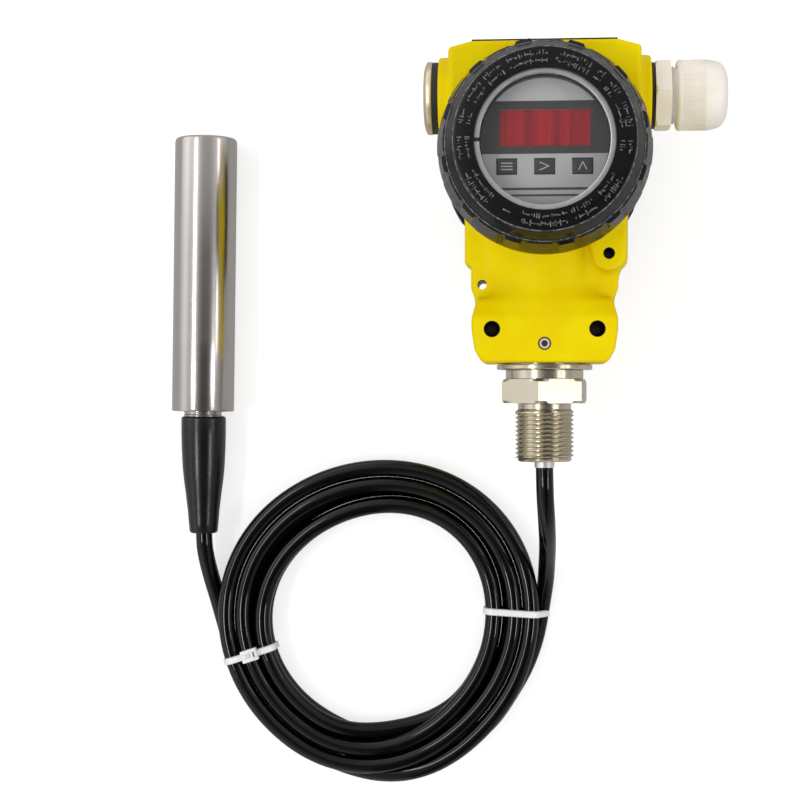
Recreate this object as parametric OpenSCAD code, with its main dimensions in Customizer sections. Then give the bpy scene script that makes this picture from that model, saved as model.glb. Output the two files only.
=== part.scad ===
// Submersible level transmitter: a two-cover head with display, a coiled cable and a level probe.
// The head lies on its rear cover. Z runs along the barrel, Y up the head, X towards the gland.

/* [Housing barrel] */
// Outer radius of the round barrel
barrel_r = 32.6; // [31.5:0.1:35]
// Wall of the barrel outside the cover threads
barrel_wall = 3.1; // [2.6:0.1:3.6]
// Length of the barrel between its two machined ends
barrel_len = 48; // [46:0.5:54]
// Step from the cover thread in to the plain chamber bore
chamber_step = 3; // [2.6:0.1:3.6]
// Depth of each cover thread in the barrel
thread_depth = 13; // [11:0.5:14]
// Rise of the flat roof above the barrel
roof_rise = 3.4; // [3:0.1:6]
// Inset of the roof block from each end of the barrel
roof_inset = 3; // [2:0.5:5]
// Inset of the roof block's sides from the barrel's widest points
roof_side_inset = 1; // [0.5:0.1:3]
// Width of the sloped shoulder at each side of the roof
roof_shoulder_w = 7.6; // [4:0.1:10]
// Drop of the sloped shoulder
roof_shoulder_h = 2; // [1:0.1:4]
// Distance from the front end of the barrel to the board ledge
ledge_from_front = 15; // [14:0.5:17]
// Thickness of the board ledge
ledge_h = 4; // [3:0.5:6]
// Width of the board ledge
ledge_w = 4; // [3.6:0.1:5]

/* [Name plate] */
// Depth of the blank name plate on the roof, front to back
name_plate_d = 36.5; // [16:0.5:42]
// Thickness of the name plate
name_plate_t = 0.8; // [0.5:0.1:1.5]
// Distance of each rivet from the name plate's end
rivet_inset = 3; // [2.4:0.1:6]

/* [Cable entries] */
// Distance of the two cable entries' axes below the flat roof
entry_drop = 14.8; // [14.6:0.1:16.6]
// Radius of the entry thread
entry_r = 10; // [9:0.25:10.5]
// Wall of the boss round the entry thread
boss_wall = 3.7; // [3.5:0.1:4.8]
// How far each boss stands out of the barrel
boss_out = 3.2; // [2.5:0.1:6]

/* [Neck and foot] */
// Distance of the stem axis from the rear end of the barrel
stem_from_back = 20; // [20:0.5:24]
// Width of the neck under the barrel
neck_w = 53.6; // [51.6:0.1:58]
// Depth of the neck, front to back
neck_d = 26; // [24:0.5:32]
// Drop of the neck's wide part below the barrel
neck_drop = 3.3; // [2:0.1:6]
// Width of the neck's narrow part
waist_w = 49.4; // [47:0.1:51]
// Height of the neck's narrow part
waist_h = 12; // [10:0.5:14]
// Width of the foot
foot_w = 48.4; // [47:0.1:54]
// Depth of the foot, front to back
foot_d = 40; // [38:0.5:42]
// Height of the foot
foot_h = 22.1; // [20:0.1:26]
// Bevel at the bottom of the foot
foot_bevel = 3.6; // [2:0.1:4]
// Radius of the round column in the neck
column_r = 18.5; // [17:0.1:19]
// Radius of the earth lug boss
lug_boss_r = 5.7; // [4:0.1:7]
// Radius of the hole in the earth lug boss
lug_hole_r = 1.75; // [1.25:0.05:2.5]
// Radius of the seal wire hole through the neck
wire_hole_r = 1.6; // [1:0.1:2]

/* [Bracket holes] */
// Spacing of the two bracket holes
bracket_spacing = 34.7; // [34:0.1:37]
// Radius of a bracket hole
bracket_r = 2.5; // [2.1:0.1:3]
// Depth of a bracket hole
bracket_depth = 12; // [8:0.5:14]
// Height of the bracket holes above the underside of the foot
bracket_up = 11.5; // [9:0.1:12]

/* [Covers] */
// Height of a cover above the end of the barrel
cover_h = 22; // [21:0.25:25]
// How far the cover's flange stands past the barrel
cover_lip = 2.1; // [1:0.1:3]
// Height of the grip flange
flange_h = 16; // [13:0.5:16.5]
// Height of the flange's straight rim, under its taper
rim_h = 2.5; // [1.5:0.1:4]
// Radius of the tapered flange at its top
flange_top_r = 32.1; // [32:0.1:33.5]
// Radius of the cover's flat face
face_r = 28.9; // [27:0.1:29.5]
// Radius where the bevel meets the grip flange
bevel_r = 31.5; // [30.5:0.1:32]
// Length of the threaded skirt
skirt_len = 10; // [8:0.5:10.5]
// Wall of the threaded skirt
skirt_wall = 2.8; // [2.2:0.1:3]
// Face wall of the blind rear cover
face_wall = 4; // [3:0.25:6]
// Number of grip lugs round the flange
lugs = 12; // [8:1:14]
// Width of a grip lug
lug_w = 6; // [4:0.5:8]
// How far the top end of a lug stands out of the tapered flange
lug_rise = 1; // [0.5:0.1:1.5]
// Radial gap between a cover's skirt and the barrel thread
cover_fit = 0.1; // [0.05:0.01:0.1]
// Gap between a screwed-down cover and the barrel's end
cover_gap = 0.2; // [0.1:0.05:0.4]
// Section radius of the cover O-ring
cover_seal_r = 0.9; // [0.7:0.05:1]

/* [Window] */
// Radius of the glass seat in the front cover
window_r = 22.3; // [21.5:0.1:23]
// Width of the shoulder under the glass
shoulder_w = 1.9; // [1.5:0.1:3]
// Thickness of the shoulder under the glass
shoulder_t = 2.6; // [2:0.1:3]
// Thickness of the window glass
glass_t = 4; // [3:0.25:4.5]
// Thickness of the window gasket
gasket_t = 0.8; // [0.5:0.1:1]
// Depth of the split ring below the cover's face
ring_sink = 1.3; // [0.6:0.1:1.6]
// Thickness of the split ring
ring_t = 1.1; // [0.8:0.1:1.2]
// Width of the split ring inside its groove
ring_w = 1.7; // [1.2:0.1:2]
// Depth of the groove that holds the split ring
ring_groove = 0.6; // [0.4:0.1:0.9]

/* [Display] */
// Gap between the window shoulder and the display face
display_gap = 2.2; // [1:0.1:2.6]
// Radial gap round the display case
case_fit = 1; // [0.6:0.1:1.5]
// Height of the display case
case_h = 14; // [13:0.5:15]
// Wall of the display case
case_wall = 1.2; // [1:0.1:1.5]
// Thickness of the printed face plate
plate_t = 0.6; // [0.4:0.1:1]
// Width of the display window
led_w = 29; // [26:0.5:31]
// Height of the display window
led_h = 11.7; // [10:0.1:13]
// Height of the display window above the barrel axis
led_y = 4.9; // [4.5:0.1:6]
// Number of digits
digits = 4; // [3:1:5]
// Pitch of the three keys
key_pitch = 12.1; // [11:0.1:12.5]
// Drop of the keys below the barrel axis
key_drop = 7.4; // [7.2:0.1:8.5]
// Width of a key
key_w = 6.4; // [5:0.1:7]
// Height of a key
key_h = 5; // [4:0.1:5.5]
// Travel of a key
key_travel = 0.5; // [0.3:0.05:0.6]

/* [Electronics] */
// Thickness of the circuit boards
board_t = 1.6; // [1:0.1:2]
// Radial gap between a board and the chamber
board_fit = 0.2; // [0.1:0.05:0.5]
// Distance of the display posts' axes from the case's inner wall
post_inset = 3.7; // [3.4:0.1:5]
// Radius of a display post
post_r = 2.3; // [2:0.1:2.5]
// Radius of a board screw's shank
screw_r = 1.2; // [0.9:0.1:1.3]
// Length of a board screw's shank in the ledge
screw_bite = 1.8; // [1:0.1:2]
// Size of the terminal block, X, Y and Z
terminal_size = [26, 14, 11];
// Number of terminals
terminals = 4; // [2:1:5]
// Radius of a smoothing capacitor on the main board
capacitor_r = 3.2; // [2.5:0.1:4]
// Height of a smoothing capacitor
capacitor_h = 7.5; // [5:0.5:8]

/* [Process connection] */
// Radius of the spigot in the foot
spigot_r = 12; // [11:0.1:12.3]
// Length of the spigot in the foot
spigot_len = 20; // [16:0.5:20.5]
// Outer radius of the lock collar
collar_r = 16.25; // [14.5:0.05:17]
// Height of the lock collar
collar_h = 1.7; // [1.5:0.1:3]
// Radius of the shoulder below the collar
shoulder_r = 13.2; // [13:0.1:13.5]
// Height of the shoulder below the collar
shoulder_h = 3.2; // [2.5:0.1:5]
// Hexagon size across flats
hex_af = 27; // [27:0.5:32]
// Height of the hexagon
hex_h = 8.2; // [7:0.1:10]
// Turn of the hexagon about the stem
hex_turn = 7; // [0:1:30]
// Radius of the process thread
thread_r = 10; // [9.5:0.1:10.5]
// Radius of the relief behind the process thread
relief_r = 9; // [8.6:0.1:9.2]
// Width of the relief behind the process thread
relief_w = 2.3; // [1.5:0.1:3]
// Length of the process thread with its relief
thread_len = 19.8; // [19:0.1:20.5]
// Radius of the grommet pocket in the thread's end
pocket_r = 5.5; // [5.2:0.1:6.5]
// Depth of the grommet pocket
pocket_h = 9; // [7:0.5:10]
// How far the cable ferrule stands out
ferrule_out = 2.1; // [1.5:0.1:3]
// Radius of the stem O-ring's section
stem_seal_r = 0.9; // [0.7:0.1:1]
// Clearance between fixed pieces that fit in one another
fit = 0.05; // [0.03:0.01:0.08]

/* [Gland and plug] */
// Across flats of the gland's hexagon
gland_af = 22; // [21.6:0.1:24]
// Thickness of the gland's rubber washer
washer_t = 1.4; // [0.6:0.1:1.6]
// Height of the gland's hexagon
gland_hex_h = 5.2; // [4:0.1:7]
// Gap between the gland's hexagon and its nut
gland_gap = 2; // [1.2:0.1:3]
// Length of the gland nut
nut_len = 16.9; // [16.5:0.1:20]
// Outer radius of the gland nut
nut_r = 12; // [12:0.1:13]
// Radius of the gland nut's thread
nut_thread_r = 9.8; // [9.5:0.1:10]
// Radius of the bore that the cable passes
gland_bore_r = 6.5; // [6:0.1:7]
// Radius of the hole in the sealing bush
bush_r = 4.5; // [3:0.1:5]
// Length of the sealing bush
bush_len = 8; // [6:0.5:9]
// Length of the thread that goes into a cable entry
entry_bite = 10; // [8:0.5:11]
// Thickness of the plug's sealing ring
plug_seal_t = 2.2; // [1:0.1:2.5]
// Height of the blanking plug's head
plug_h = 2.8; // [2.4:0.1:5]
// Radius of the blanking plug's head
plug_r = 12.35; // [12:0.05:13.5]

/* [Cable coil] */
// Radius of the cable
cable_r = 3; // [2.9:0.05:3.1]
// X of the coil's centre
coil_x = -60.4; // [-62:0.1:-60]
// Y of the coil's centre
coil_y = -161.1; // [-162:0.1:-160.5]
// Inner radius of the coil
coil_in_r = 39; // [37:0.1:39.5]
// Strands side by side in the coil
coil_rows = 3; // [2:1:4]
// Layers of strands in the coil
coil_layers = 2; // [1:1:3]
// Radial pitch of the strands
strand_pitch = 6.3; // [6.2:0.05:6.5]
// Width of a cable tie
tie_w = 2.5; // [2:0.1:4]
// Thickness of a cable tie
tie_t = 0.7; // [0.5:0.1:0.9]

/* [Probe] */
// Outer radius of the probe
probe_r = 11; // [10.5:0.1:11]
// Wall of the probe tube
probe_wall = 1.5; // [1:0.1:2]
// Length of the probe tube
probe_len = 98.9; // [90:0.1:120]
// X of the probe's axis
probe_x = -122.7; // [-130:0.1:-120]
// Y of the probe's cable end
probe_y = -86; // [-87:0.1:-85.5]
// Thickness of the nose cap
nose_t = 5; // [4:0.5:8]
// Radius of an inlet hole in the nose cap
inlet_r = 1.25; // [0.8:0.05:1.6]
// Depth of the pressure space between the nose cap and the sensor
inlet_gap = 4; // [3:0.5:6]
// Length of the sensor capsule
sensor_h = 12; // [10:0.5:15]
// Length of the end gland inside the tube
end_bite = 14; // [10:0.5:16]
// Radius of the end gland's neck
end_neck_r = 6.9; // [6.4:0.1:7.2]
// Bare length of the neck between the tube and the boot
end_neck_gap = 1.8; // [1:0.1:3]
// Length of the end gland's spigot inside the boot
end_spigot_len = 18; // [12:0.5:24]
// Radius of the end gland's spigot inside the boot
end_spigot_r = 4.6; // [4.3:0.1:4.8]
// Length of the boot
boot_len = 41.9; // [41.9:0.1:41.9]
// Radius of the boot at the probe
boot_top_r = 7.9; // [7.5:0.1:9]
// Radius of the boot at the cable
boot_end_r = 5.1; // [4.8:0.1:5.5]

/* [Hidden] */
$fn = 64;
EPS = 0.01;

// Places along the barrel, from the rear face on the table
barrel_z0 = cover_h;
barrel_z1 = barrel_z0 + barrel_len;
bore_r = barrel_r - barrel_wall;
chamber_r = bore_r - chamber_step;
ledge_front = barrel_z1 - ledge_from_front;
ledge_back = ledge_front - ledge_h;
ledge_r = chamber_r - ledge_w;
stem_z = barrel_z0 + stem_from_back;
roof_y = barrel_r + roof_rise;
roof_half_w = barrel_r - roof_side_inset;
roof_edge_cut = 1.2;
rivet_r = 1.6;
rivet_h = 0.8;
roof_flat_half_w = roof_half_w - roof_shoulder_w;
name_plate_w = 2 * roof_flat_half_w - 0.2;
name_plate_z = (barrel_z0 + barrel_z1) / 2;
entry_y = roof_y - entry_drop;
boss_x = barrel_r + boss_out;
boss_r = entry_r + boss_wall;

// Heights down the neck and foot
neck_y = -(barrel_r + neck_drop);
waist_y = neck_y - waist_h;
foot_y = waist_y - foot_h;
foot_z0 = stem_z - foot_d / 2;
foot_z1 = stem_z + foot_d / 2;
bracket_y = foot_y + bracket_up;
set_screw_up = 6.7;
set_screw_y = foot_y + set_screw_up;
set_screw_r = 2;
lug_from_side = 5.6;
lug_x = neck_w / 2 - lug_from_side;
lug_up = 2.3;
lug_y = neck_y + lug_up;
lug_h = 19;
lug_z = stem_z + lug_h;
lug_hole_depth = 8;
wire_hole_from_side = 3.8;
wire_hole_x = -(waist_w / 2 - wire_hole_from_side);
wire_hole_y = neck_y - 7.3;

// Sizes of the covers and the window stack, from the barrel's end outwards
cover_r = barrel_r + cover_lip;
skirt_r = bore_r - cover_fit;
cavity_r = skirt_r - skirt_wall;
seal_centre_r = skirt_r + cover_seal_r + fit;
ring_top = cover_h - ring_sink;
ring_bottom = ring_top - ring_t;
glass_bottom = ring_bottom - glass_t;
seat_top = glass_bottom - gasket_t;
seat_bottom = seat_top - shoulder_t;
window_open_r = window_r - shoulder_w;
lug_z0 = rim_h - 0.5;
lug_z1 = flange_h - 2;
first_lug = 12;

// Display stack, from the face plate down to the main board
plate_top = barrel_z1 + seat_bottom - display_gap;
case_front = plate_top - plate_t;
case_back = plate_top - case_h;
case_r = cavity_r - case_fit;
case_in_r = case_r - 2 * case_wall;
display_board_z1 = case_back + 3.6;
display_board_z0 = display_board_z1 - board_t;
display_board_r = case_in_r + case_wall - fit;
plate_r = case_r - case_wall;
filter_t = case_wall;
digit_gap = 0.4;
digit_margin = 0.4;
key_flange = 0.5;
key_flange_t = 0.8;
key_proud = 0.5;
key_fit = 0.15;
key_back = case_front - case_wall - key_flange_t;
switch_top = key_back - key_travel - 0.1;
switch_size = [6, 3.8];
switch_stem_r = 1.5;
switch_stem_h = 1;
post_circle_r = case_in_r - post_inset;
post_thread = 4;
board_r = chamber_r - board_fit;
main_board_z1 = ledge_front + board_t;
terminal_board_z0 = ledge_back - board_t;
board_screw_circle = ledge_r + ledge_w * 0.45;
front_screws_turn = 30;
back_screws_turn = 90;
screw_head_r = 1.7;
screw_head_h = 1.4;
terminal_y = -4;
terminal_screw_r = 2.1;
terminal_screw_y = 1.5;
terminal_hole_depth = 6;
wire_mouth_r = 1.6;
wire_mouth_z = 6;
capacitor_x = 9;
capacitor_y = 9;
chip_size = [8, 8, 2];
small_chip_size = [6, 5, 1.6];
choke_size = [7, 7, 4];
chip_y = -2;
small_chip_at = [-13, -8];
choke_at = [6, -9];
link_size = [10, 2.6];
link_y = -14;

// Places down the stem, measured from the foot's underside
shoulder_end = collar_h + shoulder_h;
hex_end = shoulder_end + hex_h;
thread_end = hex_end + thread_len;
thread_end_y = foot_y - thread_end;
stem_bore_r = cable_r + 0.4;
resin_r = 8;
resin_len = spigot_len - 3;
ferrule_wall = 0.4;
ferrule_in = 7;
passage_r = 7;
stem_seal_z = 4;

// Gland and plug along X
washer_r = gland_af / 2 + 0.2;
washer_x = boss_x + washer_t;
gland_hex_x = washer_x + gland_hex_h;
nut_x0 = gland_hex_x + gland_gap;
nut_x1 = nut_x0 + nut_len;
bush_seat_x = gland_hex_x + 3;
gland_tube_x = bush_seat_x + bush_len;
bush_out_r = nut_thread_r - 2;
claw_len = 2.2;
nut_bore_end_x = bush_seat_x + bush_len + claw_len + 0.3;
plug_seal_x = boss_x + plug_seal_t;
plug_x = plug_seal_x + plug_h;

// Coil and ties: the strands lie on the straps of the two ties
coil_z0 = tie_t;
coil_w = (coil_rows - 1) * strand_pitch + 2 * cable_r;
coil_h = coil_layers * 2 * cable_r;
coil_out_r = coil_in_r + coil_w;
right_tie_angle = 2.5;
left_tie_angle = 195;
tie_reach = 5;

// Probe along Y, from its cable end to its nose
probe_z = probe_r;
probe_in_r = probe_r - probe_wall;
nose_y = probe_y + probe_len;
cap_back_y = nose_y - nose_t;
sensor_front_y = cap_back_y - inlet_gap;
sensor_back_y = sensor_front_y - sensor_h;
sensor_ring_t = 3;
neck_end_y = probe_y - end_neck_gap;
boot_end_y = neck_end_y - boot_len;
probe_seal_r = 0.8;
probe_board_w = 14;
probe_wires_r = 1.4;
wires_bare = 4;
capsule_r = probe_in_r - 0.3;

// The cable's two loose tails: points on its axis, from each exit to the coil
head_route = [[0, -105, 42], [0.1, -110, 42], [0.3, -116, 40.8], [0.7, -122.5, 36.8],
    [1.0, -128.5, 30], [1.1, -134, 21.8], [0.9, -140, 13.4], [0.5, -147, 7], [-0.5, -154, 4.2],
    [-1.6, -161, 3.7], [-3.2, -168.5, 3.7], [-6.2, -177, 3.7], [-10.6, -185.4, 3.7]];
probe_route = [[-122.7, -129.7, 11], [-122.7, -135, 10.7], [-122.3, -140.5, 8.8],
    [-121.2, -147, 5.8], [-119.4, -154, 4.1], [-117.3, -161.5, 3.7], [-115.2, -169, 3.7],
    [-113.2, -176.5, 3.7]];

module along_x() rotate([0, 90, 0]) children();
module along_y() rotate([-90, 0, 0]) children();
// Local frame of the stem: origin at the foot's underside, +Z out of the foot
module at_stem() translate([0, foot_y, stem_z]) rotate([90, 0, 0]) children();
// Local frame of a cable entry: origin on the barrel's middle line, +Z out of the entry
module at_gland() translate([0, entry_y, stem_z]) along_x() children();
module at_plug() translate([0, entry_y, stem_z]) mirror([1, 0, 0]) along_x() children();
module at_probe() translate([probe_x, 0, probe_z]) along_y() children();
module on_circle(count, radius, start = 0)
    for (i = [0:count - 1]) rotate(start + i * 360 / count) translate([radius, 0, 0]) children();

// Tube between two heights
module ring(r_out, r_in, h)
    difference() {
        cylinder(r = r_out, h = h);
        translate([0, 0, -EPS]) cylinder(r = r_in, h = h + 2 * EPS);
    }

// O-ring with the given centre radius and section radius
module o_ring(centre_r, section_r) rotate_extrude() translate([centre_r, 0]) circle(r = section_r);

// Hexagonal prism
module hexagon(af, h) rotate(30) cylinder(r = af / sqrt(3), h = h, $fn = 6);

// Roof seen from the front: flat in the middle, with a sloped shoulder at each side
module roof_block()
    translate([0, 0, barrel_z0 + roof_inset]) linear_extrude(barrel_len - 2 * roof_inset)
        polygon([[-roof_half_w, 0], [-roof_half_w, roof_y - roof_shoulder_h - roof_edge_cut],
            [-roof_half_w + roof_edge_cut, roof_y - roof_shoulder_h], [-roof_flat_half_w, roof_y],
            [roof_flat_half_w, roof_y], [roof_half_w - roof_edge_cut, roof_y - roof_shoulder_h],
            [roof_half_w, roof_y - roof_shoulder_h - roof_edge_cut], [roof_half_w, 0]]);

// Neck seen from the front: wide under the barrel, then a narrow waist
module neck_block()
    translate([0, 0, stem_z - neck_d / 2]) linear_extrude(neck_d)
        polygon([[-neck_w / 2, 0], [-neck_w / 2, neck_y], [-waist_w / 2, neck_y - 1.4],
            [-waist_w / 2, waist_y + 3.4], [-waist_w / 2 + 2.2, waist_y - 2],
            [waist_w / 2 - 2.2, waist_y - 2], [waist_w / 2, waist_y + 3.4],
            [waist_w / 2, neck_y - 1.4], [neck_w / 2, neck_y], [neck_w / 2, 0]]);

// Foot: front outline crossed with a bevelled side outline
module foot_block()
    intersection() {
        translate([0, 0, foot_z0]) linear_extrude(foot_d)
            polygon([[-foot_w / 2 + 1.7, waist_y], [-foot_w / 2, waist_y - 7],
                [-foot_w / 2, waist_y - 11], [-foot_w / 2 + 1, foot_y + 4.6],
                [-foot_w / 2 + foot_bevel, foot_y], [foot_w / 2 - foot_bevel, foot_y],
                [foot_w / 2 - 1, foot_y + 4.6], [foot_w / 2, waist_y - 11],
                [foot_w / 2, waist_y - 7], [foot_w / 2 - 1.7, waist_y]]);
        translate([-foot_w, 0, 0]) along_x() linear_extrude(2 * foot_w)
            polygon([[-foot_z0 - 4, waist_y], [-foot_z0, waist_y - 3], [-foot_z0, foot_y + 1.5],
                [-foot_z0 - 1.5, foot_y], [-foot_z1 + 1.5, foot_y], [-foot_z1, foot_y + 1.5],
                [-foot_z1, waist_y - 3], [-foot_z1 + 4, waist_y]]);
    }

module housing_casting() {
    translate([0, 0, barrel_z0]) cylinder(r = barrel_r, h = barrel_len);
    roof_block();
    translate([-boss_x, entry_y, stem_z]) along_x() cylinder(r = boss_r, h = 2 * boss_x);
    neck_block();
    translate([0, waist_y - 3, stem_z]) along_y() cylinder(r = column_r, h = -waist_y);
    foot_block();
    translate([lug_x, lug_y, stem_z]) cylinder(r = lug_boss_r, h = lug_z - stem_z);
}

module housing_bores() {
    difference() {
        translate([0, 0, barrel_z0 - EPS]) cylinder(r = chamber_r, h = barrel_len + 2 * EPS);
        translate([0, 0, ledge_back]) ring(chamber_r + EPS, ledge_r, ledge_h);
    }
    translate([0, 0, barrel_z0 - EPS]) cylinder(r = bore_r, h = thread_depth + EPS);
    translate([0, 0, barrel_z1 - thread_depth]) cylinder(r = bore_r, h = thread_depth + EPS);
    for (side = [0, 1]) mirror([side, 0, 0]) translate([chamber_r / 2, entry_y, stem_z]) along_x()
        cylinder(r = entry_r, h = boss_x);
    at_stem() translate([0, 0, -spigot_len]) cylinder(r = spigot_r + fit, h = spigot_len + EPS);
    translate([0, foot_y + spigot_len - EPS, stem_z]) along_y()
        cylinder(r = passage_r, h = -foot_y - spigot_len - chamber_r / 2);
    for (x = [-bracket_spacing / 2, bracket_spacing / 2])
        translate([x, bracket_y, foot_z1 - bracket_depth]) cylinder(r = bracket_r, h = bracket_depth + EPS);
    translate([lug_x, lug_y, lug_z - lug_hole_depth]) cylinder(r = lug_hole_r, h = lug_hole_depth + EPS);
    translate([wire_hole_x, wire_hole_y, stem_z - neck_d]) cylinder(r = wire_hole_r, h = 2 * neck_d);
    translate([0, set_screw_y, stem_z]) cylinder(r = set_screw_r + fit, h = foot_d);
    translate([0, 0, ledge_front - screw_bite]) on_circle(3, board_screw_circle, front_screws_turn)
        cylinder(r = screw_r, h = screw_bite + EPS);
    translate([0, 0, ledge_back - EPS]) on_circle(3, board_screw_circle, back_screws_turn)
        cylinder(r = screw_r, h = screw_bite + EPS);
}

module housing()
    color("#E6CF00") difference() {
        housing_casting();
        housing_bores();
    }

// Tapered grip flange, threaded skirt and bevel that both covers share; inner points close the outline
module cover_shell(inner)
    rotate_extrude($fn = 96) polygon(concat([[cavity_r, -skirt_len], [skirt_r, -skirt_len],
        [skirt_r, 2 * cover_seal_r], [skirt_r + 2.2 * cover_seal_r, 2 * cover_seal_r],
        [skirt_r + 2.2 * cover_seal_r, cover_gap], [cover_r, cover_gap], [cover_r, rim_h],
        [flange_top_r, flange_h - 0.8], [bevel_r, flange_h], [face_r, cover_h]], inner));

module grip_lugs()
    for (i = [0:lugs - 1]) rotate(first_lug + i * 360 / lugs) rotate([90, 0, 0])
        translate([0, 0, -lug_w / 2]) linear_extrude(lug_w)
        polygon([[flange_top_r - 1, lug_z0], [cover_r, lug_z0], [flange_top_r + lug_rise, lug_z1],
            [flange_top_r - 1, lug_z1]]);

module front_cover()
    color("#1B1A1C") translate([0, 0, barrel_z1]) {
        cover_shell([[window_r, cover_h], [window_r, ring_top], [window_r + ring_groove, ring_top],
            [window_r + ring_groove, ring_bottom], [window_r, ring_bottom], [window_r, seat_top],
            [window_open_r, seat_top], [window_open_r, seat_bottom], [cavity_r, seat_bottom]]);
        grip_lugs();
    }

module rear_cover()
    color("#1B1A1C") translate([0, 0, barrel_z0]) mirror([0, 0, 1]) {
        cover_shell([[0, cover_h], [0, cover_h - face_wall], [cavity_r, cover_h - face_wall]]);
        grip_lugs();
    }

module window_glass()
    color("#D8E4E2") translate([0, 0, barrel_z1 + glass_bottom])
        cylinder(r = window_r - fit, h = glass_t, $fn = 96);

module window_gasket()
    color("#1A1A1A") translate([0, 0, barrel_z1 + seat_top]) ring(window_r - fit, window_open_r, gasket_t);

// Split ring that snaps into the groove above the glass
module window_ring()
    color("#A0A0A5") translate([0, 0, barrel_z1 + ring_bottom]) difference() {
        ring(window_r + ring_groove - fit, window_r - ring_w, ring_t);
        translate([-window_r - 2, -0.6, -EPS]) cube([5, 1.2, ring_t + 2 * EPS]);
    }

module front_cover_seal()
    color("#151515") translate([0, 0, barrel_z1 + cover_seal_r]) o_ring(seal_centre_r, cover_seal_r);

module rear_cover_seal()
    color("#151515") translate([0, 0, barrel_z0 - cover_seal_r]) o_ring(seal_centre_r, cover_seal_r);

module at_keys() for (i = [-1:1]) translate([i * key_pitch, -key_drop, 0]) children();

module led_opening(grow, h)
    translate([-led_w / 2 - grow, led_y - led_h / 2 - grow, 0]) cube([led_w + 2 * grow, led_h + 2 * grow, h]);

module key_opening(h)
    at_keys() translate([-key_w / 2 - key_fit, -key_h / 2 - key_fit, 0])
        cube([key_w + 2 * key_fit, key_h + 2 * key_fit, h]);

// Moulded tub, open at the back, with a seat for the display board
module display_case()
    color("#8E8E90") difference() {
        translate([0, 0, case_back]) cylinder(r = case_r, h = case_h - plate_t);
        translate([0, 0, case_back - EPS])
            cylinder(r = case_in_r, h = case_h - plate_t - case_wall + EPS);
        translate([0, 0, case_back - EPS])
            cylinder(r = case_in_r + case_wall, h = display_board_z1 - case_back + EPS);
        translate([0, 0, case_front - 2 * case_wall]) led_opening(0, 3 * case_wall);
        translate([0, 0, case_front - 2 * case_wall]) key_opening(3 * case_wall);
    }

module display_plate()
    color("#9C9C9E") translate([0, 0, case_front]) difference() {
        cylinder(r = plate_r, h = plate_t, $fn = 96);
        translate([0, 0, -EPS]) led_opening(0, 2 * plate_t);
        translate([0, 0, -EPS]) key_opening(2 * plate_t);
    }

module led_window()
    color("#8D2A33") translate([0, 0, case_front - filter_t]) led_opening(-fit, filter_t);

// One LED block per digit, side by side on the display board
module led_digits() {
    digit_w = led_w / digits;
    digit_top = case_front - filter_t - digit_gap;
    color("#C8C4BE") for (i = [0:digits - 1])
        translate([-led_w / 2 + i * digit_w + fit, led_y - led_h / 2 + digit_margin, display_board_z1])
            cube([digit_w - 2 * fit, led_h - 2 * digit_margin, digit_top - display_board_z1]);
}

module display_board()
    color("#1F5A33") translate([0, 0, display_board_z0]) difference() {
        cylinder(r = display_board_r, h = board_t);
        translate([0, 0, -EPS]) on_circle(2, post_circle_r, 90) cylinder(r = screw_r + fit, h = board_t + 1);
    }

// Key cap with a flange that keeps it behind the case's front wall
module key(i)
    color("#4C4F50") translate([i * key_pitch, -key_drop, 0]) {
        translate([-key_w / 2, -key_h / 2, key_back])
            cube([key_w, key_h, plate_top + key_proud - key_back]);
        translate([-key_w / 2 - key_flange, -key_h / 2 - key_flange, key_back])
            cube([key_w + 2 * key_flange, key_h + 2 * key_flange, key_flange_t]);
    }
module menu_key() key(-1);
module shift_key() key(0);
module up_key() key(1);

module key_switches()
    color("#2A2A2C") at_keys() {
        translate([-switch_size.x / 2, -switch_size.y / 2, display_board_z1])
            cube([switch_size.x, switch_size.y, switch_top - switch_stem_h - display_board_z1]);
        translate([0, 0, display_board_z1])
            cylinder(r = switch_stem_r, h = switch_top - display_board_z1, $fn = 24);
    }

module display_posts()
    color("#C9B27A") translate([0, 0, main_board_z1]) on_circle(2, post_circle_r, 90) difference() {
        cylinder(r = post_r, h = display_board_z0 - main_board_z1, $fn = 6);
        translate([0, 0, display_board_z0 - main_board_z1 - post_thread - 1])
            cylinder(r = screw_r, h = post_thread + 2);
    }

module pan_screw(shank) {
    cylinder(r = screw_head_r, h = screw_head_h, $fn = 32);
    translate([0, 0, -shank]) cylinder(r = screw_r, h = shank + EPS, $fn = 32);
}

module display_screws()
    color("#BFC1C4") translate([0, 0, display_board_z1])
        on_circle(2, post_circle_r, 90) pan_screw(board_t + post_thread);

module board_disc(z, start)
    translate([0, 0, z]) difference() {
        cylinder(r = board_r, h = board_t);
        translate([0, 0, -EPS]) on_circle(3, board_screw_circle, start)
            cylinder(r = screw_r + fit, h = board_t + 2 * EPS);
    }

module main_board() color("#1F5A33") board_disc(ledge_front, front_screws_turn);

// Smoothing capacitors, a choke and two chips
module main_board_parts()
    color("#2B2C30") translate([0, 0, main_board_z1]) {
        for (x = [-capacitor_x, capacitor_x])
            translate([x, capacitor_y, 0]) cylinder(r = capacitor_r, h = capacitor_h, $fn = 32);
        translate([-chip_size.x / 2, chip_y, 0]) cube(chip_size);
        translate(small_chip_at) cube(small_chip_size);
        translate(choke_at) cube(choke_size);
    }

module main_board_screws()
    color("#BFC1C4") translate([0, 0, main_board_z1]) on_circle(3, board_screw_circle, front_screws_turn)
        pan_screw(board_t + screw_bite);

module board_link()
    color("#202022") translate([-link_size.x / 2, link_y, ledge_back])
        cube([link_size.x, link_size.y, ledge_h]);

module terminal_board() color("#1F5A33") board_disc(terminal_board_z0, back_screws_turn);

module terminal_board_screws()
    color("#BFC1C4") translate([0, 0, terminal_board_z0]) mirror([0, 0, 1])
        on_circle(3, board_screw_circle, back_screws_turn) pan_screw(board_t + screw_bite);

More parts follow.
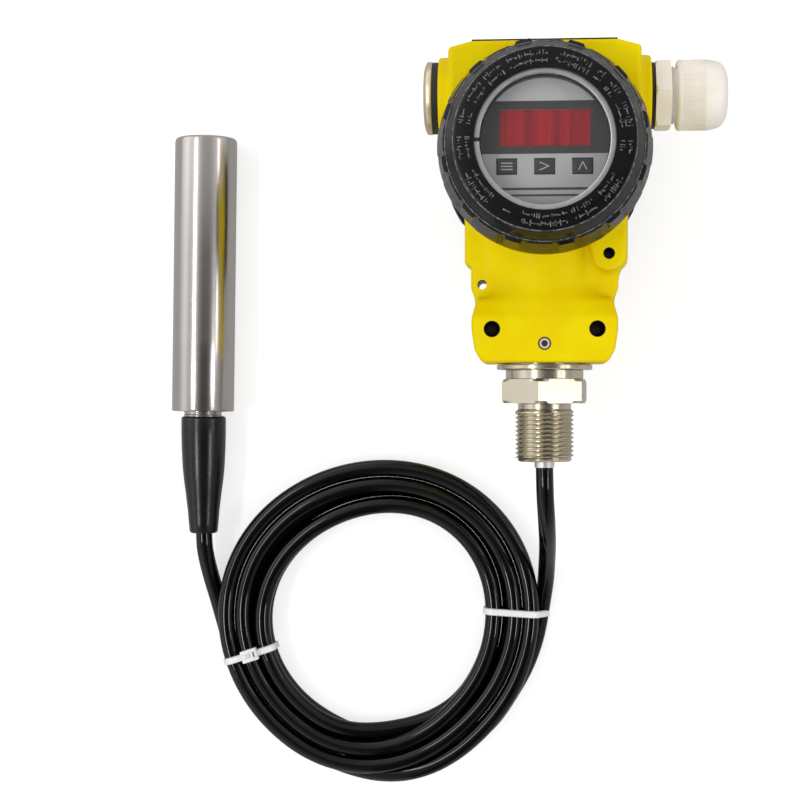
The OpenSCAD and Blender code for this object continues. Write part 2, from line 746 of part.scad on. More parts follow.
// Places of the terminals on the back of the block
module at_terminals()
    for (i = [0:terminals - 1])
        translate([(i - (terminals - 1) / 2) * terminal_size.x / terminals, terminal_y,
            terminal_board_z0 - terminal_size.z]) children();

module terminal_block()
    color("#2F7A48") difference() {
        translate([-terminal_size.x / 2, terminal_y - terminal_size.y / 2,
            terminal_board_z0 - terminal_size.z]) cube(terminal_size);
        at_terminals() translate([0, terminal_screw_y, -EPS])
            cylinder(r = terminal_screw_r, h = terminal_hole_depth, $fn = 32);
        at_terminals() translate([0, -terminal_size.y / 2 + 2, wire_mouth_z]) rotate([90, 0, 0])
            cylinder(r = wire_mouth_r, h = 5, $fn = 32);
    }

module terminal_screws()
    color("#BFC1C4") at_terminals() translate([0, terminal_screw_y, 1]) difference() {
        cylinder(r = terminal_screw_r - fit, h = terminal_hole_depth - 1 - EPS, $fn = 32);
        translate([-3, -0.4, -EPS]) cube([6, 0.8, 1]);
    }

module name_plate()
    color("#2E2C29") translate([-name_plate_w / 2, roof_y, name_plate_z - name_plate_d / 2])
        cube([name_plate_w, name_plate_t, name_plate_d]);

module name_plate_rivets()
    color("#B9B9B7") for (x = [-1, 1] * (name_plate_w / 2 - rivet_inset))
        translate([x, roof_y + name_plate_t, name_plate_z]) along_y()
        rotate_extrude($fn = 32) polygon([[0, 0], [rivet_r, 0], [rivet_r - 0.2, rivet_h / 2],
            [rivet_r / 2, rivet_h], [0, rivet_h]]);

// Grub screw from the foot's front face down on to the spigot
module lock_set_screw()
    color("#6F6A60") translate([0, set_screw_y, stem_z + spigot_r]) difference() {
        cylinder(r = set_screw_r, h = foot_d / 2 - spigot_r - 0.4, $fn = 32);
        translate([0, 0, foot_d / 2 - spigot_r - 2.6]) cylinder(r = 1.15, h = 3, $fn = 6);
    }

module process_connection()
    color("#B9B4A6") at_stem() difference() {
        union() {
            rotate_extrude() polygon([[0, -spigot_len], [spigot_r - 1, -spigot_len],
                [spigot_r, -spigot_len + 1], [spigot_r, -stem_seal_z - 1.1 * stem_seal_r],
                [spigot_r - 2 * stem_seal_r + fit, -stem_seal_z - 1.1 * stem_seal_r],
                [spigot_r - 2 * stem_seal_r + fit, -stem_seal_z + 1.1 * stem_seal_r],
                [spigot_r, -stem_seal_z + 1.1 * stem_seal_r], [spigot_r, collar_h],
                [shoulder_r, collar_h], [shoulder_r, shoulder_end + EPS], [0, shoulder_end + EPS]]);
            translate([0, 0, shoulder_end]) rotate(hex_turn) hexagon(hex_af, hex_h);
            translate([0, 0, hex_end - EPS]) rotate_extrude() polygon([[0, 0], [relief_r, 0],
                [relief_r, relief_w], [thread_r, relief_w + 1], [thread_r, thread_len - 1.4],
                [thread_r - 1.4, thread_len + EPS], [0, thread_len + EPS]]);
        }
        translate([0, 0, -spigot_len - EPS]) cylinder(r = stem_bore_r, h = spigot_len + thread_end + 1);
        translate([0, 0, -spigot_len - EPS]) cylinder(r = resin_r, h = resin_len + EPS);
        translate([0, 0, thread_end - pocket_h]) cylinder(r = pocket_r, h = pocket_h + EPS);
    }

module lock_collar() color("#C6C0B0") at_stem() ring(collar_r, spigot_r + fit, collar_h);

module stem_seal()
    color("#151515") at_stem() translate([0, 0, -stem_seal_z])
        o_ring(spigot_r + fit - stem_seal_r, stem_seal_r);

module stem_resin()
    color("#3A3A38") at_stem() translate([0, 0, -spigot_len]) ring(resin_r, cable_r, resin_len);

// Rubber bush pressed into the thread's end round the ferrule
module cable_grommet()
    color("#202020") at_stem() translate([0, 0, thread_end - pocket_h])
        ring(pocket_r, cable_r + ferrule_wall, pocket_h - 0.4);

module cable_ferrule()
    color("#C9C9C9") at_stem() translate([0, 0, thread_end - ferrule_in])
        ring(cable_r + ferrule_wall, cable_r, ferrule_in + ferrule_out);

// The cable inside the stem, and its bared cores up to the terminal board
module cable_core() {
    jacket_top = -spigot_len - 2;
    core_r = 1.6;
    bend_r = 5;
    core_y = -(ledge_r - 1);
    rise = core_y - foot_y + jacket_top;
    color("#0F0D10") at_stem() translate([0, 0, jacket_top])
        cylinder(r = cable_r, h = thread_end + ferrule_out - jacket_top, $fn = 24);
    color("#B43A2A") {
        translate([0, foot_y - jacket_top - EPS, stem_z]) along_y()
            cylinder(r = core_r, h = rise - bend_r + EPS, $fn = 24);
        translate([0, core_y - bend_r, stem_z + bend_r]) along_x() rotate_extrude(angle = 90)
            translate([bend_r, 0]) circle(r = core_r, $fn = 24);
        translate([0, core_y, stem_z + bend_r]) cylinder(r = core_r,
            h = terminal_board_z0 - stem_z - bend_r, $fn = 24);
    }
}

module gland_washer()
    color("#1C1B19") at_gland() translate([0, 0, boss_x]) ring(washer_r, entry_r - fit, washer_t);

module gland_body()
    color("#E3DFD3") at_gland() difference() {
        union() {
            translate([0, 0, boss_x - entry_bite])
                cylinder(r = entry_r - fit, h = entry_bite + washer_t + EPS);
            translate([0, 0, washer_x]) rotate(30) hexagon(gland_af, gland_hex_h);
            translate([0, 0, gland_hex_x - EPS]) cylinder(r = nut_thread_r, h = gland_tube_x - gland_hex_x);
        }
        translate([0, 0, boss_x - entry_bite - EPS]) cylinder(r = gland_bore_r, h = bush_seat_x);
        translate([0, 0, bush_seat_x]) cylinder(r = bush_out_r + 0.3, h = bush_len + EPS);
    }

module gland_bush()
    color("#1C1C1E") at_gland() translate([0, 0, bush_seat_x]) ring(bush_out_r, bush_r, bush_len);

// Slotted claw between the bush and the nut's dome
module gland_claw()
    color("#D5D0C4") at_gland() translate([0, 0, bush_seat_x + bush_len]) difference() {
        ring(bush_out_r, gland_bore_r - 0.6, claw_len);
        for (i = [0:5]) rotate(i * 60) translate([gland_bore_r - 1.4, -0.4, 0.8])
            cube([4, 0.8, claw_len]);
    }

module gland_nut()
    color("#E3DFD3") at_gland() difference() {
        translate([0, 0, nut_x0]) rotate_extrude() polygon([[0, 0], [nut_r - 0.5, 0], [nut_r, 0.5],
            [nut_r, nut_len - 7.8], [nut_r - 0.6, nut_len - 4.8], [nut_r - 1.4, nut_len - 2.4],
            [nut_r - 3.4, nut_len - 0.9], [nut_r - 5, nut_len], [0, nut_len]]);
        translate([0, 0, nut_x0 - EPS])
            cylinder(r = nut_thread_r + fit, h = nut_bore_end_x - nut_x0 + EPS);
        translate([0, 0, nut_x0]) cylinder(r = gland_bore_r, h = nut_len + 1);
    }

module plug_seal()
    color("#151515") at_plug() translate([0, 0, boss_x]) ring(plug_r - 0.2, entry_r - fit, plug_seal_t);

// Blanking plug with a key socket in its domed head
module blanking_plug()
    color("#B8B096") at_plug() difference() {
        union() {
            translate([0, 0, boss_x - entry_bite])
                cylinder(r = entry_r - fit, h = entry_bite + plug_seal_t + EPS);
            translate([0, 0, plug_seal_x]) rotate_extrude() polygon([[0, 0], [plug_r, 0],
                [plug_r, 0.8], [plug_r - 2.2, plug_h - 0.5], [plug_r - 3.2, plug_h], [0, plug_h]]);
        }
        translate([0, 0, plug_x - 6]) rotate(30) cylinder(r = 5.8, h = 6 + EPS, $fn = 6);
    }

// Swept cable: one ring of points square to the route at each of its points
CABLE_SIDES = 10;
function unit(v) = v / norm(v);
function tangent(p, i) = unit(p[min(i + 1, len(p) - 1)] - p[max(i - 1, 0)]);
function side_of(t) = unit(cross(t, [0, 0, 1]));
function ring_points(p, i, t) = [for (k = [0:CABLE_SIDES - 1])
    let (a = k * 360 / CABLE_SIDES, s = side_of(t), u = cross(s, t))
    p[i] + cable_r * (cos(a) * s + sin(a) * u)];
module cable_tube(route, first, last) {
    n = len(route);
    points = [for (i = [0:n - 1])
        each ring_points(route, i, i == 0 ? first : i == n - 1 ? last : tangent(route, i))];
    sides = [for (i = [0:n - 2], k = [0:CABLE_SIDES - 1])
        let (a = i * CABLE_SIDES + k, b = i * CABLE_SIDES + (k + 1) % CABLE_SIDES)
        each [[a, b + CABLE_SIDES, b], [a, a + CABLE_SIDES, b + CABLE_SIDES]]];
    caps = [[for (k = [0:CABLE_SIDES - 1]) k],
        [for (k = [CABLE_SIDES - 1:-1:0]) (n - 1) * CABLE_SIDES + k]];
    polyhedron(points = points, faces = concat(sides, caps));
}

module head_cable()
    color("#0F0D10") cable_tube(head_route, [0, -1, 0], tangent(head_route, len(head_route) - 1));

module probe_cable()
    color("#0F0D10") cable_tube(probe_route, [0, -1, 0], tangent(probe_route, len(probe_route) - 1));

// Outer shape of the wound coil
module cable_coil()
    color("#0F0D10") translate([coil_x, coil_y, coil_z0]) rotate_extrude($fn = 96)
        polygon([[coil_in_r + 1.5, 0], [coil_out_r - 1.5, 0], [coil_out_r, 1.5],
            [coil_out_r, coil_h - 1.5], [coil_out_r - 1.5, coil_h], [coil_in_r + 1.5, coil_h],
            [coil_in_r, coil_h - 1.5], [coil_in_r, 1.5]]);

// Strap bent round the coil's section, reaching past its outer edge by extra
module tie_strap(extra)
    translate([0, tie_w / 2, 0]) rotate([90, 0, 0]) linear_extrude(tie_w) difference() {
        translate([coil_in_r - 0.3 - tie_t, 0])
            square([coil_w + 0.6 + extra + 2 * tie_t, coil_h + 2 * tie_t]);
        translate([coil_in_r - 0.3, tie_t]) square([coil_w + 0.6 + extra, coil_h]);
    }

// The right tie also holds the tail that comes from the head; its lock lies under the top layer
module right_tie()
    color("#C9C5C8") translate([coil_x, coil_y, 0]) rotate(right_tie_angle) tie_strap(tie_reach);

module left_tie()
    color("#C9C5C8") translate([coil_x, coil_y, 0]) rotate(left_tie_angle) {
        tie_strap(0.6);
        translate([coil_in_r + coil_w * 0.55, -2.2, coil_h + 1.5 * tie_t]) cube([5.5, 4.4, 3]);
    }

module probe_tube()
    color("#B9B4AC") at_probe() translate([0, 0, probe_y]) rotate_extrude($fn = 96)
        polygon([[probe_in_r, 0], [probe_r - 0.6, 0], [probe_r, 0.6], [probe_r, probe_len - 1],
            [probe_r - 1, probe_len], [probe_in_r, probe_len]]);

// Turned gland: plug in the tube, neck, and a spigot that the boot grips
module probe_end_gland()
    color("#C2BDB2") at_probe() difference() {
        union() {
            translate([0, 0, probe_y]) difference() {
                cylinder(r = probe_in_r - fit, h = end_bite);
                translate([0, 0, end_bite / 2 - 1.1 * probe_seal_r]) ring(probe_in_r + 1,
                    probe_in_r - 2 * probe_seal_r, 2.2 * probe_seal_r);
            }
            translate([0, 0, neck_end_y]) cylinder(r = end_neck_r, h = end_neck_gap + EPS);
            translate([0, 0, neck_end_y - end_spigot_len])
                cylinder(r = end_spigot_r, h = end_spigot_len + EPS);
        }
        translate([0, 0, neck_end_y - end_spigot_len - EPS])
            cylinder(r = cable_r + fit, h = end_spigot_len + end_neck_gap + end_bite + 1);
    }

module probe_seal()
    color("#151515") at_probe() translate([0, 0, probe_y + end_bite / 2])
        o_ring(probe_in_r - probe_seal_r, probe_seal_r);

module strain_relief()
    color("#2C2A2B") at_probe() difference() {
        translate([0, 0, boot_end_y]) rotate_extrude() polygon([[0, 0], [boot_end_r - 0.6, 0],
            [boot_end_r, 0.8], [boot_top_r - 1.6, boot_len * 0.36], [boot_top_r - 0.3, boot_len * 0.65],
            [boot_top_r, boot_len - 0.6], [boot_top_r - 0.6, boot_len], [0, boot_len]]);
        translate([0, 0, boot_end_y - EPS]) cylinder(r = cable_r + fit, h = boot_len + 1);
        translate([0, 0, neck_end_y - end_spigot_len]) cylinder(r = end_spigot_r, h = end_spigot_len + 1);
    }

// The cable inside the boot and the probe, up to the amplifier board
module probe_core() {
    jacket_top = probe_y + end_bite + wires_bare;
    color("#0F0D10") at_probe() translate([0, 0, boot_end_y])
        cylinder(r = cable_r, h = jacket_top - boot_end_y, $fn = 24);
    color("#B43A2A") at_probe() translate([0, 0, jacket_top - EPS])
        cylinder(r = probe_wires_r, h = wires_bare, $fn = 24);
}

module probe_board() {
    board_y0 = probe_y + end_bite + 2 * wires_bare - EPS;
    board_y1 = sensor_back_y - sensor_ring_t - 2;
    color("#1F5A33") translate([probe_x - probe_board_w / 2, board_y0, probe_z - board_t / 2])
        cube([probe_board_w, board_y1 - board_y0, board_t]);
    color("#B43A2A") at_probe() translate([0, 0, board_y1 - EPS])
        cylinder(r = probe_wires_r, h = sensor_back_y - board_y1, $fn = 24);
}

module sensor_capsule()
    color("#C9C6BE") at_probe() translate([0, 0, sensor_back_y]) difference() {
        cylinder(r = capsule_r, h = sensor_h);
        translate([0, 0, sensor_h / 2 - 1.1 * probe_seal_r])
            ring(capsule_r + 1, probe_in_r - 2 * probe_seal_r, 2.2 * probe_seal_r);
        translate([0, 0, sensor_h - 0.6]) cylinder(r = capsule_r - 2, h = 1);
    }

module sensor_seal()
    color("#151515") at_probe() translate([0, 0, sensor_back_y + sensor_h / 2])
        o_ring(probe_in_r - probe_seal_r, probe_seal_r);

module sensor_ring()
    color("#B9B4AC") at_probe() translate([0, 0, sensor_back_y - sensor_ring_t])
        ring(probe_in_r - fit, probe_in_r - 3, sensor_ring_t);

// Nose cap with four inlet holes, its skirt standing on the sensor
module probe_nose_cap()
    color("#B9B4AC") at_probe() difference() {
        translate([0, 0, sensor_front_y]) cylinder(r = probe_in_r - fit, h = nose_y - sensor_front_y);
        translate([0, 0, sensor_front_y - EPS]) cylinder(r = probe_in_r - 2.2, h = inlet_gap + EPS);
        translate([0, 0, cap_back_y - EPS]) {
            cylinder(r = inlet_r, h = nose_t + 1);
            on_circle(3, probe_in_r * 0.5, 90) cylinder(r = inlet_r, h = nose_t + 1);
        }
    }

housing();
front_cover();
window_glass();
window_gasket();
window_ring();
front_cover_seal();
rear_cover();
rear_cover_seal();
display_case();
display_plate();
led_window();
led_digits();
display_board();
menu_key();
shift_key();
up_key();
key_switches();
display_posts();
display_screws();
main_board();
main_board_parts();
main_board_screws();
board_link();
terminal_board();
terminal_board_screws();
terminal_block();
terminal_screws();
name_plate();
name_plate_rivets();
lock_set_screw();
gland_washer();
gland_body();
gland_bush();
gland_claw();
gland_nut();
plug_seal();
blanking_plug();
process_connection();
lock_collar();
stem_seal();
stem_resin();
cable_grommet();
cable_ferrule();
cable_core();
head_cable();
cable_coil();
probe_cable();
right_tie();
left_tie();
strain_relief();
probe_tube();
probe_end_gland();
probe_seal();
probe_core();
probe_board();
sensor_capsule();
sensor_seal();
sensor_ring();
probe_nose_cap();
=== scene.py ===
import math
import random

import bmesh
import bpy
import numpy as np
from mathutils import Matrix, Vector


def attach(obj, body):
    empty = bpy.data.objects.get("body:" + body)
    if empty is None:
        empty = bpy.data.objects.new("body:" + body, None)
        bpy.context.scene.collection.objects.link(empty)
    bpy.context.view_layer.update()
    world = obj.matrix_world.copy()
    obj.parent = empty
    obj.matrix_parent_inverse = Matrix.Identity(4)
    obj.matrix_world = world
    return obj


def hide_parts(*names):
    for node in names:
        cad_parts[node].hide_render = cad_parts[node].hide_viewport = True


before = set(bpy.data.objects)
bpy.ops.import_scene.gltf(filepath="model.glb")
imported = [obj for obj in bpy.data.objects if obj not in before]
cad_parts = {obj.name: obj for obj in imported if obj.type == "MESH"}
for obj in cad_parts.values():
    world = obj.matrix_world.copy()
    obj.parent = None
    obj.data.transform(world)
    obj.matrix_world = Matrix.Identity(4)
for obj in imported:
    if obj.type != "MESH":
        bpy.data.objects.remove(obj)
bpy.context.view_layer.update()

# Camera
# A photographer's camera looks down on the table from 66 cm, through a lens of 81 mm. It stands over
# the foot of the head and is turned 4.4 degrees to its left, towards the coil and the probe.


def placed(name, data):
    """An object in the scene with that data."""
    item = bpy.data.objects.new(name, data)
    bpy.context.scene.collection.objects.link(item)
    return item


camera = placed("camera", bpy.data.cameras.new("camera"))
camera.location = (-0.0017, -0.0824, 0.6598)
camera.rotation_euler = (0.0007, 0.0770, -0.0003)
camera.data.sensor_width = 36
camera.data.lens = 81.34
camera.data.clip_start = 0.01
bpy.context.scene.camera = camera

# Cable
# A round vented cable, 6 mm thick, from the head's stem to the probe, wound in a coil of five and a
# half turns in two layers. Its jacket is extruded black PVC, which is smooth and shines along the top.
MM = 0.001
CABLE_R = 3.0
head_tail = [(0, -105, 42), (0.1, -110, 42), (0.3, -116, 40.8), (0.7, -122.5, 36.8),
             (1.0, -128.5, 30), (1.1, -134, 21.8), (0.9, -140, 13.4), (0.5, -147, 7),
             (-0.5, -154, 4.2), (-1.6, -161, 3.7), (-3.2, -168.5, 3.7), (-6.2, -177, 3.7),
             (-10.6, -185.4, 3.7)]
probe_route = [(-122.7, -129.7, 11), (-122.7, -135, 10.7), (-122.3, -140.5, 8.8),
               (-121.2, -147, 5.8), (-119.4, -154, 4.1), (-117.3, -161.5, 3.7),
               (-115.2, -169, 3.7), (-113.2, -176.5, 3.7)]
# The probe leans by 0.73 degrees and takes the last 10.8 mm of its tail aside, by up to 0.4 mm
LEAN_SHIFT, LEAN_Y, LEAN_RUN = 0.4, -140.5, 10.8
probe_tail = [(x - LEAN_SHIFT * max((y - LEAN_Y) / LEAN_RUN, 0), y, z) for x, y, z in probe_route]
COIL_X, COIL_Y, COIL_START, COIL_END = -60.4, -161.1, 40, 1950
# The coil is wound by hand and isn't quite round. Each edge has a radius, an offset, and the size in
# mm and phase of one, two and three waves round it.
COIL_EDGES = {"inner": (42.0, -0.2, (0.93, 0.21), (0.86, -1.41), (0.77, -2.62)),
              "outer": (54.6, 0.24, (1.0, -0.63), (0.51, -0.87), (0.7, -2.22))}
# Edge, distance from it and height of each turn, in the order in which the cable takes them
low_outer, low_middle, low_inner = ("outer", 0, 3.7), ("inner", 6.05, 3.7), ("inner", 0, 3.7)
top_inner, top_middle, top_outer = ("inner", 0, 9.7), ("outer", -6.05, 9.7), ("outer", 0, 9.7)
turn_places = [low_outer, low_middle, low_inner, top_inner, top_middle, top_outer, low_outer]


def eased(share):
    """0 to 1 with a soft start and end."""
    share = min(max(share, 0.0), 1.0)
    return share * share * (3 - 2 * share)


def turn_radius(place, angle, sway=1.0):
    """Radius of one turn at an angle in degrees, with the whole or a share of its unevenness."""
    edge, inset, _ = place
    radius, uneven, *waves = COIL_EDGES[edge]
    for count, (size, phase) in enumerate(waves, 1):
        uneven += size * math.cos(count * math.radians(angle) + phase)
    return inset + radius + uneven * sway


def coil_point(angle):
    """Place of the cable on the coil, at an angle in degrees wound clockwise from the right."""
    turn = min(int(angle // 360), len(turn_places) - 2)
    here, after = turn_places[turn], turn_places[turn + 1]
    # It crosses to the next place early in each turn, and is round where the tails join it
    share = eased((angle - 360 * turn - COIL_START) / 80)
    sway = 1 - max(1 - eased((angle - COIL_START) / 60), eased((angle - COIL_END + 70) / 70))
    r0, r1 = turn_radius(here, -angle, sway), turn_radius(after, -angle, sway)
    # It swings clear of its neighbours where it climbs to the upper layer and where it comes down
    radius = r0 + (r1 - r0) * share + math.sin(math.pi * share) * {2: -2.2, 5: 2.0}.get(turn, 0.0)
    radius += 0.8 * (1 - eased((angle - 32) / 40)) + 0.4 * eased((angle - COIL_END + 50) / 50)
    turned_by = -math.radians(angle)
    return (COIL_X + radius * math.cos(turned_by), COIL_Y + radius * math.sin(turned_by),
            here[2] + (after[2] - here[2]) * share)


def smooth_line(points, spacing):
    """Evenly spaced points on a smooth curve through the given ones."""
    p = np.array([points[0], *points, points[-1]], float)
    p[0], p[-1] = 2 * p[1] - p[2], 2 * p[-2] - p[-3]
    t = np.linspace(0, 1, 12, endpoint=False)[:, None]
    parts = []
    for a, b, c, d in zip(p, p[1:], p[2:], p[3:]):
        parts.append(0.5 * (2 * b + (c - a) * t + (2 * a - 5 * b + 4 * c - d) * t ** 2
                            + (3 * b - a - 3 * c + d) * t ** 3))
    line = np.vstack([*parts, p[-2]])
    run = np.concatenate([[0], np.cumsum(np.linalg.norm(np.diff(line, axis=0), axis=1))])
    even = np.linspace(0, run[-1], int(run[-1] / spacing) + 1)
    return np.stack([np.interp(even, run, line[:, k]) for k in range(3)], axis=1), run[-1]


coil = [coil_point(angle) for angle in range(COIL_START, COIL_END + 1, 10)]
cable_line, cable_length = smooth_line([*head_tail, *coil, *reversed(probe_tail)], 2.5)
cable_curve = bpy.data.curves.new("level_cable", "CURVE")
cable_curve.dimensions = "3D"
cable_curve.bevel_depth = CABLE_R * MM
cable_curve.bevel_resolution = 6
cable_curve.use_fill_caps = True
spline = cable_curve.splines.new("POLY")
spline.points.add(len(cable_line) - 1)
spline.points.foreach_set("co", np.hstack([cable_line * MM, np.ones((len(cable_line), 1))]).ravel())
spline.use_smooth = True
level_cable = placed("level_cable", cable_curve)


def linear(hex_colour):
    """Linear RGBA of an sRGB hex colour."""
    parts = [int(hex_colour[i:i + 2], 16) / 255 for i in (1, 3, 5)]
    return (*[c / 12.92 if c <= 0.04045 else ((c + 0.055) / 1.055) ** 2.4 for c in parts], 1.0)


def add_node(tree, kind, settings=None, links=None):
    """A shader node with its settings, which are sockets or properties by name, and its input links."""
    node = tree.nodes.new("ShaderNode" + kind)
    for key, value in (settings or {}).items():
        if isinstance(key, int) or key in node.inputs:
            node.inputs[key].default_value = value
        else:
            setattr(node, key, value)
    for key, source in (links or {}).items():
        tree.links.new(source, node.inputs[key])
    return node


def grain(tree, size_mm, detail=2.0, stretch=(1, 1, 1)):
    """A noise of that feature size in the piece's own place, and drawn out along an axis."""
    place = add_node(tree, "TexCoord")
    scaled = add_node(tree, "Mapping", {"Scale": stretch}, {"Vector": place.outputs["Object"]})
    return add_node(tree, "TexNoise", {"Scale": 1 / (size_mm * MM), "Detail": detail},
                    {"Vector": scaled.outputs["Vector"]}).outputs["Fac"]


def two_tones(tree, mask, socket, first, second, low=0.3, high=0.7):
    """Feeds a socket with a colour or number that goes from first to second as mask goes low to high."""
    share = add_node(tree, "MapRange", {"From Min": low, "From Max": high}, {"Value": mask})
    if isinstance(first, str):
        mixed = add_node(tree, "MixRGB", {"Color1": linear(first), "Color2": linear(second)},
                         {"Fac": share.outputs["Result"]}).outputs["Color"]
    else:
        share.inputs["To Min"].default_value = first
        share.inputs["To Max"].default_value = second
        mixed = share.outputs["Result"]
    tree.links.new(mixed, socket)


def relief(tree, shader, height, depth_mm, under=None):
    """Raises the surface by a height pattern, on top of another relief if one is given."""
    links = {"Height": height}
    if under is not None:
        links["Normal"] = under
    bump = add_node(tree, "Bump", {"Distance": depth_mm * MM, "Strength": 1.0}, links)
    tree.links.new(bump.outputs["Normal"], shader.inputs["Normal"])
    return bump.outputs["Normal"]


def finish(name, sockets, colours=None, roughness=None, *bumps):
    """A material of one surface shader with these sockets. Colours and roughness are (grain, first,
    second) with the limits of two_tones if they differ, and bumps are (grain, depth in mm). A grain is
    a size in mm, or a size with its detail and stretch."""
    material = bpy.data.materials.new(name)
    material.use_nodes = True
    tree = material.node_tree
    shader = tree.nodes["Principled BSDF"]
    for socket, value in sockets.items():
        shader.inputs[socket].default_value = value

    def noise(pattern):
        return grain(tree, *pattern) if isinstance(pattern, tuple) else grain(tree, pattern)

    for socket, tones in (("Base Color", colours), ("Roughness", roughness)):
        if tones:
            two_tones(tree, noise(tones[0]), shader.inputs[socket], *tones[1:])
    under = None
    for pattern, depth in bumps:
        under = relief(tree, shader, noise(pattern), depth, under)
    return material


def belongs(piece, body, slot, *nodes):
    """The piece moves with a body and stands for CAD nodes, which it hides; the slot is not used."""
    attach(piece, body)
    if nodes:
        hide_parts(*nodes)


# Extruded PVC is smooth and glossy, with a slight waviness from the die that breaks the highlight
jacket = finish("extruded_black_pvc", {"IOR": 1.5, "Specular IOR Level": 0.36},
                (9, "#030203", "#060507", 0.35, 0.65), (3, 0.05, 0.1), (3, 0.01))
cable_curve.materials.append(jacket)
belongs(level_cable, "base", "cable_black", "head_cable", "cable_coil", "probe_cable")

# Cable ties
# Two white nylon ties, 2.5 mm wide, each moulded in one piece with its toothed strap. The right one
# also holds the head's tail, and its lock lies under the coil. The left one has its lock on top.
TIE_W, TIE_T, TIE_STEPS = 2.5, 0.7, 90


def new_piece(name, vertices, faces, material, sharp=35):
    """A mesh piece in the shared frame, from points in millimetres."""
    mesh = bpy.data.meshes.new(name)
    mesh.from_pydata([tuple(c * MM for c in v) for v in vertices], [], [list(f) for f in faces])
    shaped = bmesh.new()
    shaped.from_mesh(mesh)
    bmesh.ops.remove_doubles(shaped, verts=shaped.verts, dist=1e-6)
    bmesh.ops.recalc_face_normals(shaped, faces=shaped.faces)
    shaped.to_mesh(mesh)
    shaped.free()
    mesh.polygons.foreach_set("use_smooth", [True] * len(mesh.polygons))
    mesh.set_sharp_from_angle(angle=math.radians(sharp))
    mesh.materials.append(material)
    return placed(name, mesh)


def bands(rows, n, ring=True, loop=False):
    """Faces between rows of n points: each row may be a ring, and the rows may close in a loop."""
    return [(i * n + k, i * n + (k + 1) % n, (i + 1) % rows * n + (k + 1) % n, (i + 1) % rows * n + k)
            for i in range(rows if loop else rows - 1) for k in range(n if ring else n - 1)]


def prism(rows, n):
    """Faces of a closed form: rows of n points, and a lid on the last and the first."""
    return bands(rows, n) + [tuple(range((rows - 1) * n, rows * n)), tuple(reversed(range(n)))]


def settled(piece):
    """The piece with its modifiers made part of its mesh."""
    evaluated = piece.evaluated_get(bpy.context.evaluated_depsgraph_get())
    mesh = bpy.data.meshes.new_from_object(evaluated)
    piece.modifiers.clear()
    piece.data = mesh
    return piece


def bevelled(piece, width_mm, segments=2, angle=35):
    """The piece with its edges broken by a small radius."""
    edge = piece.modifiers.new("edge", "BEVEL")
    edge.width, edge.segments = width_mm * MM, segments
    edge.limit_method, edge.angle_limit = "ANGLE", math.radians(angle)
    edge.harden_normals = True
    return settled(piece)


def joined(name, pieces):
    """Several pieces as one."""
    mesh, shaped = bpy.data.meshes.new(name), bmesh.new()
    for piece in pieces:
        piece.data.transform(piece.matrix_world)
        shaped.from_mesh(piece.data)
    shaped.to_mesh(mesh)
    shaped.free()
    mesh.materials.append(pieces[0].data.materials[0])
    for piece in pieces:
        bpy.data.objects.remove(piece)
    return placed(name, mesh)


def block(name, low, high, material, edge=0.3, place=Matrix.Identity(4)):
    """A box with broken edges between two corners, in a local frame in millimetres."""
    corners = [place @ Vector((x, y, z)) for x in (low[0], high[0]) for y in (low[1], high[1])
               for z in (low[2], high[2])]
    faces = [(0, 1, 3, 2), (4, 6, 7, 5), (0, 4, 5, 1), (2, 3, 7, 6), (0, 2, 6, 4), (1, 5, 7, 3)]
    return bevelled(new_piece(name, corners, faces, material), edge)


# Natural nylon lets a little light in, which gives it a milky look with a soft shine
nylon = finish("moulded_white_nylon", {"IOR": 1.53, "Subsurface Weight": 0.15, "Subsurface Scale": 0.002},
               (6, "#DEDBDC", "#E6E3E4", 0.35, 0.65), (1, 0.32, 0.45), (0.8, 0.01))


def tie_strap(name, angle, centre, coil_angle, outermost):
    """A strap pulled tight in an upright plane, at an angle through a centre. It goes round the turns,
    whose radii are read at coil_angle, and round the outermost strand."""
    turned_by = math.radians(angle)
    out = Vector((math.cos(turned_by), math.sin(turned_by), 0))
    across = Vector((-out.y, out.x, 0))
    strands = [(turn_radius(place, coil_angle), place[2]) for place in turn_places[1:6]]
    strands.append((outermost, low_outer[2]))
    section = [(0, -1), (0, 1), (TIE_T, 0.75), (TIE_T, -0.75)]
    vertices = []
    for i in range(TIE_STEPS):
        a = 2 * math.pi * i / TIE_STEPS
        u = Vector((math.cos(a), math.sin(a)))
        r, z = max(strands, key=lambda s: s[0] * u.x + s[1] * u.y)
        for thick, side in section:
            reach = CABLE_R + 0.04 + thick
            vertices.append(Vector((*centre, max(z + reach * u.y, 0.0))) + out * (r + reach * u.x)
                            + across * (side * TIE_W / 2))
    return new_piece(name, vertices, bands(TIE_STEPS, len(section), loop=True), nylon, 50)


right_tie = tie_strap("right_cable_tie", -3.4, (-60.4, -155.3), 2.5, 58.8)
belongs(right_tie, "base", "tie_nylon", "right_tie")

LEFT_ANGLE, LEFT_CENTRE = 198, (-60.75, -159.3)
strap = tie_strap("left_strap", LEFT_ANGLE, LEFT_CENTRE, 195, 55.0)
at_lock = (Matrix.Translation((*LEFT_CENTRE, 0)) @ Matrix.Rotation(math.radians(LEFT_ANGLE), 4, "Z")
           @ Matrix.Translation((47.5, 0, 12.75)))
# The lock's two sides, back, front and pawl, and the strap's cut end: two corners and an edge each
lock = [block("lock", low, high, nylon, edge, at_lock) for low, high, edge in (
    ((-3.0, -2.2, 0.1), (3.0, -0.7, 3.0), 0.35), ((-3.0, 0.7, 0.1), (3.0, 2.2, 3.0), 0.35),
    ((-3.0, -1.5, 0.1), (-1.9, 1.5, 3.0), 0.3), ((1.2, -1.5, 0.1), (3.0, 1.5, 2.6), 0.3),
    ((-0.4, -0.9, 0.8), (1.4, 0.9, 2.2), 0.2), ((-1.5, -1.2, 0.1), (-0.8, 1.2, 4.2), 0.15))]
left_tie = joined("left_cable_tie", [strap, *lock])
